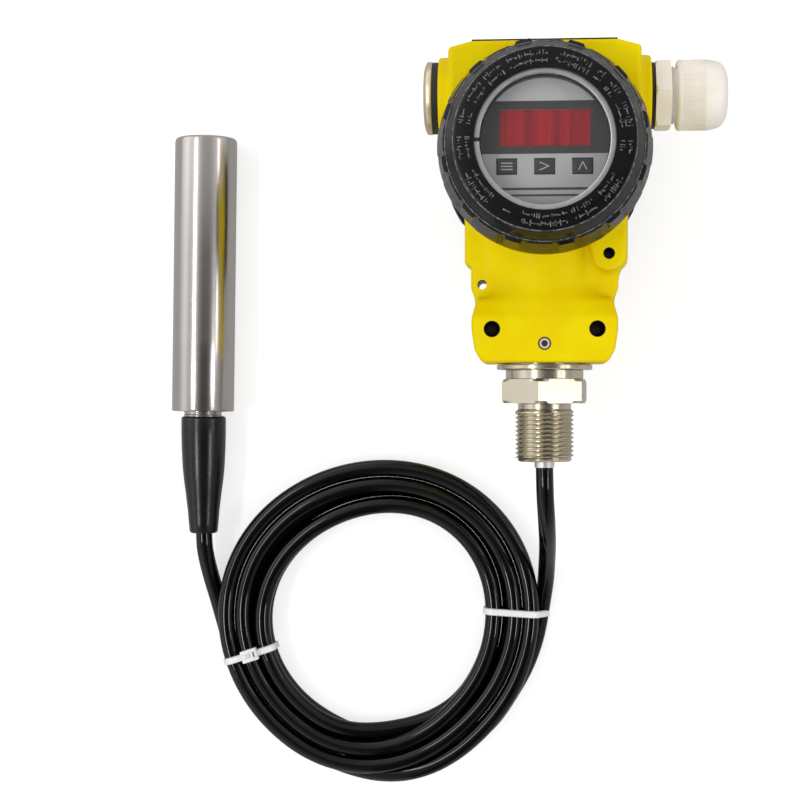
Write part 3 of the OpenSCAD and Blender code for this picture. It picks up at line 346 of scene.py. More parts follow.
belongs(left_tie, "base", "tie_nylon", "left_tie")

# Housing
# One aluminium die casting: a barrel with a cover thread at each end, a flat roof, a boss for each
# cable entry, and a neck and foot over the stem. It is powder coated yellow, then bored and tapped.
STEM_Z, FOOT_Y, ROOF_Y, ENTRY_Y = 42.0, -70.0, 36.0, 21.2
BARREL_R, BARREL_Z0, BARREL_Z1 = 32.6, 22.0, 70.0
BOSS_X, BOSS_R = 35.8, 13.7
LUG_X, LUG_Y, LUG_Z = 21.2, -33.6, 61.0
WAIST_Y, FOOT_TOP, SCREW_Y = -47.9, 62.0, FOOT_Y + 6.7
roof_side = [(24.0, ROOF_Y), (31.3, 34.0), (31.6, 33.7), (31.6, 0)]
neck_side = [(26.8, 0), (26.8, -35.9), (24.7, -37.3), (24.7, -44.5), (22.5, -49.9)]
foot_side = [(22.5, WAIST_Y), (24.2, -54.9), (24.2, -58.9), (23.2, -65.4), (20.6, FOOT_Y)]
foot_profile = [(30, -41.0), (22, -54.5), (22, -68.5), (23.5, FOOT_Y), (60.8, FOOT_Y),
                (62, -68.8), (62, -54.5), (54, -41.0)]


def mirrored(side):
    """A closed outline from its right-hand half."""
    return side + [(-x, y) for x, y in reversed(side)]


def outline_distance(a, b, corners):
    """Distance in mm from points to a closed outline, negative inside."""
    nearest, inside = np.full(np.broadcast(a, b).shape, 1e9), np.zeros(np.broadcast(a, b).shape, bool)
    for (a0, b0), (a1, b1) in zip(corners, corners[1:] + corners[:1]):
        da, db = a1 - a0, b1 - b0
        t = np.clip(((a - a0) * da + (b - b0) * db) / (da * da + db * db), 0, 1)
        nearest = np.minimum(nearest, np.hypot(a - a0 - t * da, b - b0 - t * db))
        if db:
            inside ^= ((b0 > b) != (b1 > b)) & (a < a0 + (b - b0) / db * da)
    return np.where(inside, -nearest, nearest)


def common(one, other, edge):
    """What two forms share, with its edge rounded."""
    one, other = one + edge, other + edge
    return (np.minimum(np.maximum(one, other), 0)
            + np.hypot(np.maximum(one, 0), np.maximum(other, 0)) - edge)


def merged(one, other, fillet):
    """Two forms run together with a fillet."""
    near = np.maximum(fillet - np.abs(one - other), 0) / fillet
    return np.minimum(one, other) - near * near * fillet / 4


def cast_skin(field, low, step):
    """The surface where a field of distances is zero: a point in each cell it crosses."""
    size = np.array(field.shape) - 1
    total, count = np.zeros((*size, 3)), np.zeros(size)
    corner = [(i, j, k) for i in (0, 1) for j in (0, 1) for k in (0, 1)]
    value = {c: field[c[0]:c[0] + size[0], c[1]:c[1] + size[1], c[2]:c[2] + size[2]] for c in corner}
    for c in corner:
        for axis in range(3):
            if c[axis] == 0:
                d = tuple(v + (n == axis) for n, v in enumerate(c))
                crossed = (value[c] < 0) != (value[d] < 0)
                t = np.where(crossed, value[c] / np.where(crossed, value[c] - value[d], 1), 0)
                for n in range(3):
                    total[..., n] += np.where(crossed, c[n] + (t if n == axis else 0), 0)
                count += crossed
    used = count > 0
    number = np.full(size, -1)
    number[used] = np.arange(used.sum())
    cell = np.argwhere(used)
    points = np.array(low) + (cell + total[used] / count[used][:, None]) * step
    faces = []
    for axis in range(3):
        u, v = (axis + 1) % 3, (axis + 2) % 3
        first = np.moveaxis(field, (axis, u, v), (0, 1, 2))
        ids = np.moveaxis(number, (axis, u, v), (0, 1, 2))
        below = (first[:-1, 1:-1, 1:-1] < 0) & (first[1:, 1:-1, 1:-1] >= 0)
        above = (first[:-1, 1:-1, 1:-1] >= 0) & (first[1:, 1:-1, 1:-1] < 0)
        quad = [ids[:, :-1, :-1], ids[:, 1:, :-1], ids[:, 1:, 1:], ids[:, :-1, 1:]]
        for crossed, order in ((below, (0, 1, 2, 3)), (above, (3, 2, 1, 0))):
            faces.append(np.stack([quad[k][crossed] for k in order], axis=1))
    return points, np.vstack(faces)


STEP = 0.8
low_corner = (-38.0, -72.4, 19.0)
X, Y, Z = np.ogrid[0:96, 0:139, 0:67]
X, Y, Z = X * STEP + low_corner[0], Y * STEP + low_corner[1], Z * STEP + low_corner[2]
MID_Z = (BARREL_Z0 + BARREL_Z1) / 2
barrel = common(np.hypot(X, Y) - BARREL_R, abs(Z - MID_Z) - (BARREL_Z1 - MID_Z), 0.5)
roof = common(outline_distance(X, Y, mirrored(roof_side)), abs(Z - MID_Z) - 21, 0.6)
bosses = common(np.hypot(Y - ENTRY_Y, Z - STEM_Z) - BOSS_R, abs(X) - BOSS_X, 0.8)
neck = common(outline_distance(X, Y, mirrored(neck_side)), abs(Z - STEM_Z) - 10, 1.4)
column = common(np.hypot(X, Z - STEM_Z) - 18.5, np.maximum(Y + 10, -51 - Y), 1.0)
foot = common(outline_distance(X, Y, mirrored(foot_side)), outline_distance(Z, Y, foot_profile), 1.6)
lug_boss = common(np.hypot(X - LUG_X, np.minimum(Y - LUG_Y, 0)) - 5.7,
                  np.maximum(np.maximum(Z - LUG_Z, STEM_Z - Z), Y + 12), 0.9)
casting = merged(barrel, roof, 1.5)
casting = merged(casting, bosses, 2.0)
casting = merged(casting, merged(neck, column, 6.0), 2.5)
casting = merged(casting, foot, np.interp(abs(X), (17, 22.5), (7.0, 2.0)))
casting = merged(casting, lug_boss, 4.0)
points, faces = cast_skin(casting, low_corner, STEP)

# Powder coat: a thick baked polyester film with a fine orange peel and a soft shine, over a casting
# whose faces are never quite flat
coat = finish("yellow_powder_coat", {"IOR": 1.5, "Roughness": 0.4, "Specular IOR Level": 0.05},
              (14, "#DFC400", "#E4CE00", 0.35, 0.65), None, ((1.5, 1.0), 0.025), ((11, 1.0), 0.16))


def metal(name, colour, roughness, *bumps):
    """A bare or plated metal of one colour, with its roughness and bumps as finish takes them."""
    return finish(name, {"Metallic": 1.0, "Base Color": linear(colour)}, None, roughness, *bumps)


# Bored and tapped aluminium: bare metal with a dull tool finish, coloured dark all over as painted shade for
# the insides of the bores and holes
machined = metal("machined_aluminium_painted_shade", "#5E5650", ((0.6, 2.0, (1, 1, 4)), 0.3, 0.45))

housing = new_piece("housing_casting", points, faces, coat, 40)
housing.data.materials.append(machined)


def frame_at(origin, axis):
    """A local frame in millimetres at origin, its Z along an axis of the shared frame."""
    turn = {"+Z": Matrix.Identity(4), "-Z": Matrix.Diagonal((1, 1, -1, 1)),
            "+X": Matrix.Rotation(math.pi / 2, 4, "Y"),
            "-X": Matrix.Diagonal((-1, 1, 1, 1)) @ Matrix.Rotation(math.pi / 2, 4, "Y"),
            "-Y": Matrix.Rotation(math.pi / 2, 4, "X"), "+Y": Matrix.Rotation(-math.pi / 2, 4, "X")}
    return Matrix.Translation(origin) @ turn[axis]


def filleted(profile):
    """Profile points (r, h) or (r, h, fillet), with an arc in place of each corner that has a fillet."""
    points = []
    for i, corner in enumerate(profile):
        here = Vector(corner[:2])
        radius = corner[2] if len(corner) > 2 else 0
        if not radius:
            points.append(tuple(here))
            continue
        to_last = (Vector(profile[i - 1][:2]) - here).normalized()
        to_next = (Vector(profile[(i + 1) % len(profile)][:2]) - here).normalized()
        half = math.acos(max(-1, min(1, to_last.dot(to_next)))) / 2
        start, end = here + to_last * radius / math.tan(half), here + to_next * radius / math.tan(half)
        centre = here + (to_last + to_next).normalized() * radius / math.sin(half)
        for k in range(5):
            towards = (start - centre).lerp(end - centre, k / 4)
            points.append(tuple(centre + towards.normalized() * radius))
    return points


def turned(name, profile, place, material, segments=96, shape=None, closed=False, sharp=35):
    """A piece turned on a lathe from (r, h) points; shape(r, h, angle) may give another radius."""
    profile = filleted(profile)
    vertices = []
    for r, h in profile:
        for j in range(segments):
            a = 2 * math.pi * j / segments
            reach = shape(r, h, a) if shape and r > 0 else r
            vertices.append(place @ Vector((reach * math.cos(a), reach * math.sin(a), h)))
    rows = len(profile)
    faces = []
    for i in range(rows if closed else rows - 1):
        for j in range(segments):
            k, n = (j + 1) % segments, (i + 1) % rows
            quad = [i * segments + j, i * segments + k, n * segments + k, n * segments + j]
            if profile[i][0] == 0:
                quad = [i * segments, *quad[2:]]
            elif profile[n][0] == 0:
                quad = [*quad[:2], n * segments]
            faces.append(quad)
    return new_piece(name, vertices, faces, material, sharp)


def cut(piece, *tools):
    """The piece with the tools' shapes cut out of it."""
    for tool in tools:
        bore = piece.modifiers.new("bore", "BOOLEAN")
        bore.operation, bore.solver, bore.object = "DIFFERENCE", "MANIFOLD", tool
        settled(piece)
        bpy.data.objects.remove(tool)
    return piece


def drill(x, y, z, radius, depth, sink=0.0):
    """A drill that cuts depth deep down from its point, with a countersink of that width."""
    return turned("drill", [(0, depth + radius * 0.5), (radius, depth), (radius, sink), (radius + sink, 0),
                            (radius + sink, -3), (0, -3)], frame_at((x, y, z), "-Z"), machined, 48)


def tapped(radius, start, end, pitch, depth):
    """Profile points of a thread's ridges from start to end."""
    points, h = [], start
    side = 1 if end > start else -1
    while (end - h) * side > pitch:
        points += [(radius, h), (radius + depth, h + side * pitch * 0.4),
                   (radius + depth, h + side * pitch * 0.6)]
        h += side * pitch
    return points + [(radius, h)]


chamber = turned("chamber", [(0, 74), (30.4, 74), (30.4, 69.4), *tapped(29.5, 68.8, 57, 1.5, 0.45),
                             (29.5, 57), (26.5, 57), (26.5, 55), (22.5, 55), (22.5, 51), (26.5, 51),
                             (26.5, 35), (29.5, 35), *tapped(29.5, 35, 23.2, 1.5, 0.45),
                             (30.4, 22.6), (30.4, 18), (0, 18)], frame_at((0, 0, 0), "+Z"), machined)
entries = [turned("entry", [(0, 5), (10.0, 13), *tapped(10.0, 22, BOSS_X - 1, 1.5, 0.4),
                            (10.9, BOSS_X), (10.9, BOSS_X + 4), (0, BOSS_X + 4)],
                  frame_at((0, ENTRY_Y, STEM_Z), axis), machined) for axis in ("+X", "-X")]
spigot_bore = turned("spigot_bore", [(0, -42), (7, -42), (7, -20), (12.05, -20), (12.05, -0.5),
                                     (12.5, 0), (12.5, 3), (0, 3)],
                     frame_at((0, FOOT_Y, STEM_Z), "-Y"), machined)
# Two bracket holes, the earth lug's, the seal wire's and the set screw's: x, y, z, radius, depth, sink
holes = [drill(*hole) for hole in (
    (-17.35, -58.5, FOOT_TOP, 2.5, 12, 0.25), (17.35, -58.5, FOOT_TOP, 2.5, 12, 0.25),
    (LUG_X, LUG_Y, LUG_Z, 1.75, 8, 0.2), (-20.9, -43.2, FOOT_TOP, 1.6, 45),
    (0, SCREW_Y, FOOT_TOP, 2.05, 8.5, 0.15))]
cut(housing, chamber, *entries, spigot_bore, *holes)
housing.data.set_sharp_from_angle(angle=math.radians(35))
belongs(housing, "base", "yellow_casting", "housing")

# Name plate and set screw
# A blank plate of rolled aluminium, coloured dark grey as painted shade for the dark line along the roof's
# front edge, held on the flat roof by two drive rivets, and a steel grub screw in the foot's front that
# locks the stem.
ROLLED_LINES = (0.8, 3.0, (0.02, 1, 1))
# The plate's dark grey is painted shade for the dark line along the roof's front edge, and it keeps the fine
# lines that rolling leaves along it
dark_plate_metal = metal("dark_plate_painted_shade", "#3A3530", (ROLLED_LINES, 0.3, 0.45), (ROLLED_LINES, 0.004))
# Plain steel under a film of oil: pale, with a dull shine
screw_steel = metal("oiled_screw_steel", "#E2DACA", (0.7, 0.5, 0.65))


def dress(material, *nodes):
    """Gives CAD nodes their finish."""
    for node in nodes:
        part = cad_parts[node]
        for material_slot in part.material_slots:
            material_slot.material = material
        part.data.shade_smooth()
        part.data.set_sharp_from_angle(angle=math.radians(35))


def soften(node, width_mm):
    """Breaks a CAD node's edges by a small radius."""
    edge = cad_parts[node].modifiers.new("edge", "BEVEL")
    edge.width, edge.segments = width_mm * MM, 2
    edge.limit_method, edge.angle_limit = "ANGLE", math.radians(40)


dress(dark_plate_metal, "name_plate", "name_plate_rivets")
soften("name_plate", 0.15)
dress(screw_steel, "lock_set_screw")
# Painted shade: a dark matt film in the gap round the screw and in its key socket stands for the shade that
# falls there
painted_screw_shade = finish("painted_shade_round_set_screw", {"IOR": 1.5, "Roughness": 0.5}, (0.5, "#1C120C", "#2C1E12"))
screw_place = frame_at((0, SCREW_Y, 61.6), "+Z")
gap_ring = turned("gap_ring", [(1.72, -0.3), (1.72, 0.03), (1.85, 0.06), (2.05, 0.04), (2.15, -0.1),
                               (2.05, -0.3)], screw_place, painted_screw_shade, 48, closed=True, sharp=60)
socket_fill = turned("socket_fill", [(0, -1.2), (1.0, -1.2), (1.0, 0.02), (0.8, -0.15), (0.4, -0.35),
                                     (0, -0.4)], screw_place, painted_screw_shade, 32, sharp=60)
belongs(joined("set_screw_painted_shade", [gap_ring, socket_fill]), "base", "part_black")

# Front cover
# An aluminium die casting that screws into the barrel: a threaded skirt, a grip flange with twelve
# lugs, and a bevel up to a flat ring with raised marks. It is stove enamelled in gloss black.
enamel = finish("black_stove_enamel", {"IOR": 1.5, "Coat Weight": 0.28, "Coat Roughness": 0.05,
                                       "Specular IOR Level": 0.1},
                (7, "#0B0A0C", "#110F12", 0.35, 0.65), (2, 0.3, 0.42), ((2.6, 1.0), 0.02))

# Grey patches on the black enamel are painted highlights, the glints on the raised marks and on the two
# front edges
glint_enamel = finish("black_enamel_painted_glints", {"IOR": 1.5, "Coat Weight": 0.5, "Coat Roughness": 0.1},
                (1.2, "#222124", "#6C6A6D", 0.4, 0.6), (1, 0.3, 0.42))

COVER_R, BEVEL_R, FACE_H = 34.7, 31.5, 22.0
flange = [(COVER_R, 0.2, 0.3), (COVER_R, 1.6), (COVER_R, 2.0), (COVER_R, 2.4), (34.6, 2.9), (34.2, 5),
          (33.66, 7.5), (33.15, 10), (32.6, 12.6), (32.35, 13.9), (32.25, 14.4), (32.1, 14.9), (31.95, 15.3),
          (31.75, 15.6), (BEVEL_R, 15.95), (31.3, 16.3), (31.1, 16.8), (29.3, 21.1), (29.15, 21.4),
          (28.95, 21.7), (28.7, 21.9), (28.3, FACE_H)]
skirt = [(29.4, -10, 0.4), *tapped(29.4, -9.2, -0.2, 1.5, -0.45), (29.4, 1.8), (31.38, 1.8), (31.38, 0.2)]


def lugged(r, h, a):
    """Radius of a cover: twelve grip lugs on its taper, and a low land between each two."""
    if not 2.2 < h < 15.2 or r < 32:
        return r
    off = abs((math.degrees(a) - 12 + 15) % 30 - 15)
    lug = max(COVER_R + 0.1 - 0.125 * (h - 2), r) if h < 14.5 else r + 0.25
    land = 0.3 * min((h - 2.2) / 0.6, 1) if h < 14.5 else 0.0
    return r + (lug - r) * eased((5.2 - off) / 0.9) + land * eased((off - 7.0) / 0.9)


front_place = frame_at((0, 0, BARREL_Z1), "+Z")
front_profile = [(26.6, -10, 0.3), *skirt, *flange, (22.5, FACE_H), (22.3, 21.8), (22.3, 20.7),
                 (22.9, 20.7), (22.9, 19.6), (22.3, 19.6), (22.3, 14.8), (20.4, 14.8, 0.15),
                 (20.4, 12.2, 0.15), (26.6, 12.2)]
front_cover = turned("front_cover_enamelled", front_profile, front_place, enamel, 360, lugged,
                     closed=True, sharp=30)


def raised_bar(r, angle, length, width, height, place, across=False):
    """Points and faces of a low bar with a round back on the cover's face, radial or across."""
    turn = place @ Matrix.Rotation(angle, 4, "Z") @ Matrix.Translation((r, 0, 0))
    if across:
        turn = turn @ Matrix.Rotation(math.pi / 2, 4, "Z")
    arch = [(math.cos(math.pi * k / 8), math.sin(math.pi * k / 8)) for k in range(9)]
    end = length / 2
    rows = [(-end, 0.5), (0.12 - end, 0.92), (0.25 - end, 1.0), (end - 0.25, 1.0), (end - 0.12, 0.92),
            (end, 0.5)]
    vertices = [turn @ Vector((x, c * width / 2 * (0.7 + 0.3 * share), s * height * share - 0.06))
                for x, share in rows for c, s in arch]
    lids = [tuple(range(9)), tuple(range(53, 44, -1))]
    return vertices, bands(len(rows), len(arch), ring=False) + lids


# Groups of plain raised marks in two rows round the face, from and to degrees clockwise of the top
mark_groups = [(-104, -88), (-79, -70), (-63, -49), (-45, -30), (-26, 3), (11, 34), (39, 45), (50, 60),
               (66, 84), (92, 101), (118, 137), (143, 160), (165, 197), (222, 246)]
random.seed(7)
vertices, faces = [], []
mark_place = front_place @ Matrix.Translation((0, 0, FACE_H))


def add_mark(*bar):
    """Adds one bar to the raised marks."""
    points, sides = raised_bar(*bar)
    faces.extend([[len(vertices) + i for i in side] for side in sides])
    vertices.extend(points)


for start, end in mark_groups:
    for row_r, reach in ((26.9, 1.9), (24.4, 1.7)):
        angle = start + random.uniform(0, 1)
        while angle < end:
            length = reach * random.choice((0.45, 0.7, 0.85, 1.0))
            shift = (reach - length) * random.uniform(-0.5, 0.5)
            add_mark(row_r + shift, math.radians(90 - angle), length, random.uniform(0.4, 0.6), 0.5,
                     mark_place, random.random() < 0.3)
            angle += random.uniform(1.4, 2.7) * 26 / row_r
for angle, length in ((-152, 2.6), (80, 2.2)):
    add_mark(25.6, math.radians(90 - angle), length, 0.6, 0.55, mark_place, True)
marks = new_piece("marks", vertices, faces, glint_enamel, 60)
dot = turned("dot", [(0.5, -0.05), (0.42, 0.2), (0.22, 0.36), (0, 0.4)],
             mark_place @ Matrix.Translation((3.8, 25.0, 0)), glint_enamel, 16, sharp=80)
# Painted highlights along the two front edges, in thin rings of the grey enamel
glint_edge_section = [(-0.3, -0.3), (0, 0), (0.02, 0.03), (-0.13, 0.22), (-0.35, 0.36), (-0.5, 0)]
edges = [turned("edge", [(r + dr, h + dh) for dr, dh in glint_edge_section], front_place, glint_enamel, 240,
                closed=True, sharp=60) for r, h in ((29.17, 21.47), (31.87, 15.5))]
belongs(joined("raised_marks", [marks, dot, *edges]), "front_cover_turn", "black_cover")
belongs(front_cover, "front_cover_turn", "black_cover", "front_cover")

# Window
# A toughened glass disc lies on a rubber gasket in the cover. A split ring of flat spring steel,
# zinc plated, snaps into a groove above it and keeps it down.

# Moulded nitrile rubber is dark grey and nearly matt
rubber = finish("moulded_nitrile_rubber", {"IOR": 1.52}, (3, "#161616", "#1E1D1C"), (1, 0.5, 0.65),
                (0.6, 0.01))
dress(rubber, "window_gasket", "front_cover_seal", "rear_cover_seal")


def emptied(owner):
    """The cleared node tree of a material or of the world."""
    owner.use_nodes = True
    owner.node_tree.nodes.clear()
    return owner.node_tree


# Clear glass mirrors and bends what the eye sees, and lets the lamps' light straight through
glass = bpy.data.materials.new("toughened_glass")
tree = emptied(glass)
clear = add_node(tree, "BsdfGlass", {"Color": (1, 1, 1, 1), "Roughness": 0.0, "IOR": 1.5})
passing = add_node(tree, "BsdfTransparent", {"Color": (1, 1, 1, 1)})
path = add_node(tree, "LightPath")
lamp_or_soft = add_node(tree, "Math", {"operation": "MAXIMUM"},
                        {0: path.outputs["Is Shadow Ray"], 1: path.outputs["Is Diffuse Ray"]})
mixed = add_node(tree, "MixShader", None, {0: lamp_or_soft.outputs[0], 1: clear.outputs[0],
                                           2: passing.outputs[0]})
add_node(tree, "OutputMaterial", None, {"Surface": mixed.outputs[0]})
window = turned("window_disc", [(0, 15.6), (22.0, 15.6), (22.25, 15.85), (22.25, 19.35), (22.0, 19.6),
                                (0, 19.6)], front_place, glass, 128)
belongs(window, "front_cover_turn", "clear_glass", "window_glass")

# Zinc plate on spring steel: pale grey, with a soft metallic shine
zinc = metal("zinc_plated_spring_steel", "#BDBDC1", (2, 0.34, 0.46))
ring = turned("snap_ring", [(20.6, 19.6, 0.25), (22.85, 19.6, 0.25), (22.85, 20.7, 0.3), (20.6, 20.7, 0.3)],
              front_place, zinc, 180, closed=True, sharp=60)
cut(ring, block("gap", (-24, -0.6, 19), (-18, 0.6, 21.5), zinc, 0.05, front_place))
belongs(ring, "front_cover_turn", "ring_steel", "window_ring")

# Rear cover
# The same aluminium die casting with a blind face, stove enamelled like the front one. It screws in
# behind the terminal space.
rear_profile = [(0, 18), (26.0, 18, 0.5), (26.6, 17), (26.6, -10, 0.3), *skirt, *flange, (0, FACE_H)]
rear_cover = turned("rear_cover_enamelled", rear_profile, frame_at((0, 0, BARREL_Z0), "-Z"), enamel, 360,
                    lugged, sharp=30)
belongs(rear_cover, "rear_cover_turn", "black_cover", "rear_cover")

# Display
# A grey ABS tub holds the display board. Its front is a grey printed polycarbonate plate with a black
# band round a red window, behind which four LED digits are dark. Three rubber keys stand through it.

# Moulded ABS has a fine matt texture from its mould
moulded = finish("moulded_grey_abs", {"IOR": 1.54}, (5, "#868688", "#909092"), (0.7, 0.45, 0.6),
                 (0.5, 0.012))
dress(moulded, "display_case")

# Painted light: the matt grey polycarbonate is coloured lighter towards its upper edge
printed = finish("matt_grey_polycarbonate", {"IOR": 1.58, "Roughness": 0.5}, None, None,
                 ((0.35, 1.0), 0.004))
tree = printed.node_tree
place = add_node(tree, "TexCoord")
upward = add_node(tree, "SeparateXYZ", None, {"Vector": place.outputs["Object"]})
two_tones(tree, upward.outputs["Y"], tree.nodes["Principled BSDF"].inputs["Base Color"],
          "#A0A0A1", "#BEBEC0", 0.004, 0.022)
dress(printed, "display_plate")

# Screen ink lies in a flat film with a soft sheen
ink = finish("screen_printed_ink", {"IOR": 1.5}, (4, "#252124", "#2C282B"), (0.5, 0.35, 0.5))

PLATE_R, PLATE_Z, INK_T = 24.2, 80.0, 0.04


def print_between(low, high, left=None, right=None):
    """A patch of ink between two heights, out to the plate's round edge or to left and right."""
    rows = [low + (high - low) * k / 8 for k in range(9)]
    edge = [math.sqrt(PLATE_R ** 2 - y * y) for y in rows]
    outline = [(-e if left is None else left, y) for e, y in zip(edge, rows)]
    outline += [(e if right is None else right, y) for e, y in reversed([*zip(edge, rows)])]
    vertices = [(x, y, z) for z in (PLATE_Z, PLATE_Z + INK_T) for x, y in outline]
    return new_piece("ink", vertices, prism(2, len(outline)), ink)


LED_X, LED_Y0, LED_Y1 = 14.5, -0.95, 10.75
band = joined("printed_band", [print_between(LED_Y1, 13.5), print_between(-3.4, LED_Y0),
                               print_between(LED_Y0, LED_Y1, None, -LED_X),
                               print_between(LED_Y0, LED_Y1, LED_X, None)])
belongs(band, "base", "part_black")
lines = joined("printed_lines", [print_between(-15.0, -14.2), print_between(-17.0, -16.35)])
belongs(lines, "base", "part_black")

# Cast acrylic, red right through, with soft upright streaks. What lies behind it shows faintly
red = finish("red_cast_acrylic", {"IOR": 1.49, "Roughness": 0.3, "Alpha": 0.72, "Specular IOR Level": 0.2},
             ((2.0, 1.5, (1, 0, 1)), "#7C0F19", "#B01A26", 0.3, 0.6), None, ((6, 1.0), 0.01))
dress(red, "led_window")

# The digits' epoxy blocks are brownish red, and their unlit bars are darker
potting = finish("dark_led_epoxy", {"IOR": 1.5, "Roughness": 0.5}, (1.5, "#7A2A2A", "#8A3030"))
diffuser = finish("milky_led_epoxy", {"IOR": 1.5, "Roughness": 0.4}, (1.5, "#2E1010", "#3A1414"))
DIGIT_PITCH, DIGIT_FRONT = 7.25, 77.7
# A digit's bars, three across and four upright: middle, half width and half height
digit_bars = [(0, y, 1.5, 0.4) for y in (-3.8, 0, 3.8)]
digit_bars += [(side, y, 0.4, 1.5) for y in (-1.9, 1.9) for side in (-2.0, 2.0)]
digit_blocks, segments = [], []
for i in range(4):
    x = -LED_X + (i + 0.5) * DIGIT_PITCH
    digit_blocks.append(block("block", (x - 3.35, -0.55, 69.6), (x + 3.35, 10.35, DIGIT_FRONT), potting,
                              0.15))
    on_front = Matrix.Translation((x - 0.3, 4.9, DIGIT_FRONT))
    for middle, y, half_x, half_y in digit_bars:
        # The digit leans by a tenth of its height
        at = middle + y * 0.1
        segments.append(block("bar", (at - half_x, y - half_y, -0.05), (at + half_x, y + half_y, 0.1),
                              diffuser, 0.1, on_front))
belongs(joined("digit_blocks", digit_blocks), "base", "digit_white", "led_digits")
belongs(joined("digit_segments", segments), "base", "digit_white")

# Moulded silicone is dark grey with a dull, slightly uneven skin, and its marks are printed pale
keycap = finish("moulded_grey_silicone", {"IOR": 1.43}, (3, "#232525", "#292B2B"), (0.8, 0.42, 0.58),
                (0.5, 0.01))
pale_ink = finish("pale_printed_ink", {"IOR": 1.5, "Roughness": 0.5}, (2, "#A6A8A8", "#B4B6B6"))

KEY_PITCH, KEY_Y, KEY_FOOT, KEY_TOP, CORNER_R = 12.1, -7.4, 76.8, 80.5, 0.9
# Strokes of each key's mark: three lines for the menu, a chevron aside and a chevron up
key_marks = {"menu_key": [(-1.7, 1.0, 1.7, 1.0), (-1.7, 0, 1.7, 0), (-1.7, -1.0, 1.7, -1.0)],
             "shift_key": [(-1.5, 1.2, 1.3, 0), (1.3, 0, -1.5, -1.2)],
             "up_key": [(-1.2, -1.1, 0, 1.3), (0, 1.3, 1.2, -1.1)]}
cap_outline = []
for sx, sy, start in ((1, 1, 0), (-1, 1, 90), (-1, -1, 180), (1, -1, 270)):
    for k in range(5):
        a = math.radians(start + k * 22.5)
        cap_outline.append((sx * 2.3 + CORNER_R * math.cos(a), sy * 1.6 + CORNER_R * math.sin(a)))
# Size against the outline, and height, of each level of a cap
levels = [(1.0, KEY_FOOT), (1.0, KEY_TOP - 0.35), (0.96, KEY_TOP - 0.12), (0.88, KEY_TOP - 0.02),
          (0.5, KEY_TOP)]
for i, (node, strokes) in enumerate(key_marks.items()):
    x = (i - 1) * KEY_PITCH
    vertices = [(x + px * s, KEY_Y + py * s, z) for s, z in levels for px, py in cap_outline]
    cap = new_piece("cap", vertices, prism(len(levels), len(cap_outline)), keycap, 50)
    rim = block("rim", (x - 3.7, KEY_Y - 3.0, KEY_FOOT), (x + 3.7, KEY_Y + 3.0, 77.6), keycap, 0.2)
    belongs(joined(node.replace("key", "key_cap"), [cap, rim]), node, "key_grey", node)
    printed_mark = []
    for x0, y0, x1, y1 in strokes:
        start, end = Vector((x + x0, KEY_Y + y0, KEY_TOP)), Vector((x + x1, KEY_Y + y1, KEY_TOP))
        along = (end - start).normalized() * 0.15
        side = Vector((-along.y, along.x, 0))
        corners = [start - along - side, end + along - side, end + along + side, start - along + side]
        top = [c + Vector((0, 0, 0.03)) for c in corners]
        printed_mark.append(new_piece("stroke", corners + top, prism(2, 4), pale_ink))
    belongs(joined(node + "_mark", printed_mark), node, "digit_white")

# Boards and terminals
# Three round glass-epoxy boards with green solder mask, joined by brass posts and a board link. The
# rear one carries a green terminal block with plated screws.

# A glossy green mask in two tones, from the copper tracks about 1.2 mm apart that lie under it
mask = finish("green_solder_mask", {"IOR": 1.55, "Roughness": 0.32})
tree = mask.node_tree
place = add_node(tree, "TexCoord")
tracks = add_node(tree, "TexVoronoi", {"distance": "CHEBYCHEV", "Scale": 1 / (2.4 * MM)},
                  {"Vector": place.outputs["Object"]})
two_tones(tree, tracks.outputs["Distance"], tree.nodes["Principled BSDF"].inputs["Base Color"],
          "#1A5230", "#2C7040", 0.3, 0.42)
dress(mask, "display_board", "main_board", "terminal_board", "probe_board")

# Moulded epoxy is nearly black with a dull skin
black_part = finish("moulded_black_epoxy", {"IOR": 1.55}, (2, "#242427", "#2D2E31"), (0.5, 0.4, 0.6))
dress(black_part, "main_board_parts", "key_switches", "board_link", "stem_resin")
soften("main_board_parts", 0.2)

# Thin nickel over brass: a warm pale metal with a clean shine
brass = metal("nickelled_brass", "#C9B27A", (1, 0.25, 0.38))
dress(brass, "display_posts")

# Bright zinc on the small screws
screw_zinc = metal("zinc_plated_screw", "#BFC1C4", (0.8, 0.28, 0.42))
dress(screw_zinc, "display_screws", "main_board_screws", "terminal_board_screws", "terminal_screws")

# Moulded polyamide is mid green with a slight sheen
terminal_green = finish("moulded_green_polyamide", {"IOR": 1.53}, (3, "#2B7344", "#34804C"),
                        (0.6, 0.4, 0.55))
dress(terminal_green, "terminal_block")
soften("terminal_block", 0.25)

# Cable gland
# A moulded nylon gland in the right-hand entry: a hexagon on a rubber washer, a threaded neck with
# claws and a bush, and a domed nut with fine grip ribs.

# Ivory nylon is warm and milky, with a soft shine from its mould
ivory = finish("moulded_ivory_nylon", {"IOR": 1.53, "Subsurface Weight": 0.12, "Subsurface Scale": 0.003},
               (8, "#E9E2D8", "#EFE8DF", 0.35, 0.65), (1, 0.36, 0.5), (0.9, 0.012))

gland_place = frame_at((0, ENTRY_Y, STEM_Z), "+X")
washer = turned("gland_rubber_washer", [(9.95, BOSS_X), (10.95, BOSS_X), (11.2, 36.1), (11.2, 36.9),
                                        (10.95, 37.2), (9.95, 37.2)], gland_place, rubber, closed=True)
belongs(washer, "base", "black_rubber", "gland_washer")


def hexagonal(across, turn=0.0):
    """Limits a turned radius to a hexagon of that width across its flats."""
    def limit(r, h, a):
        off = (a - math.radians(turn) + math.pi / 6) % (math.pi / 3) - math.pi / 6
        return min(r, across / 2 / math.cos(off)) if r > across / 2 - 0.4 else r
    return limit


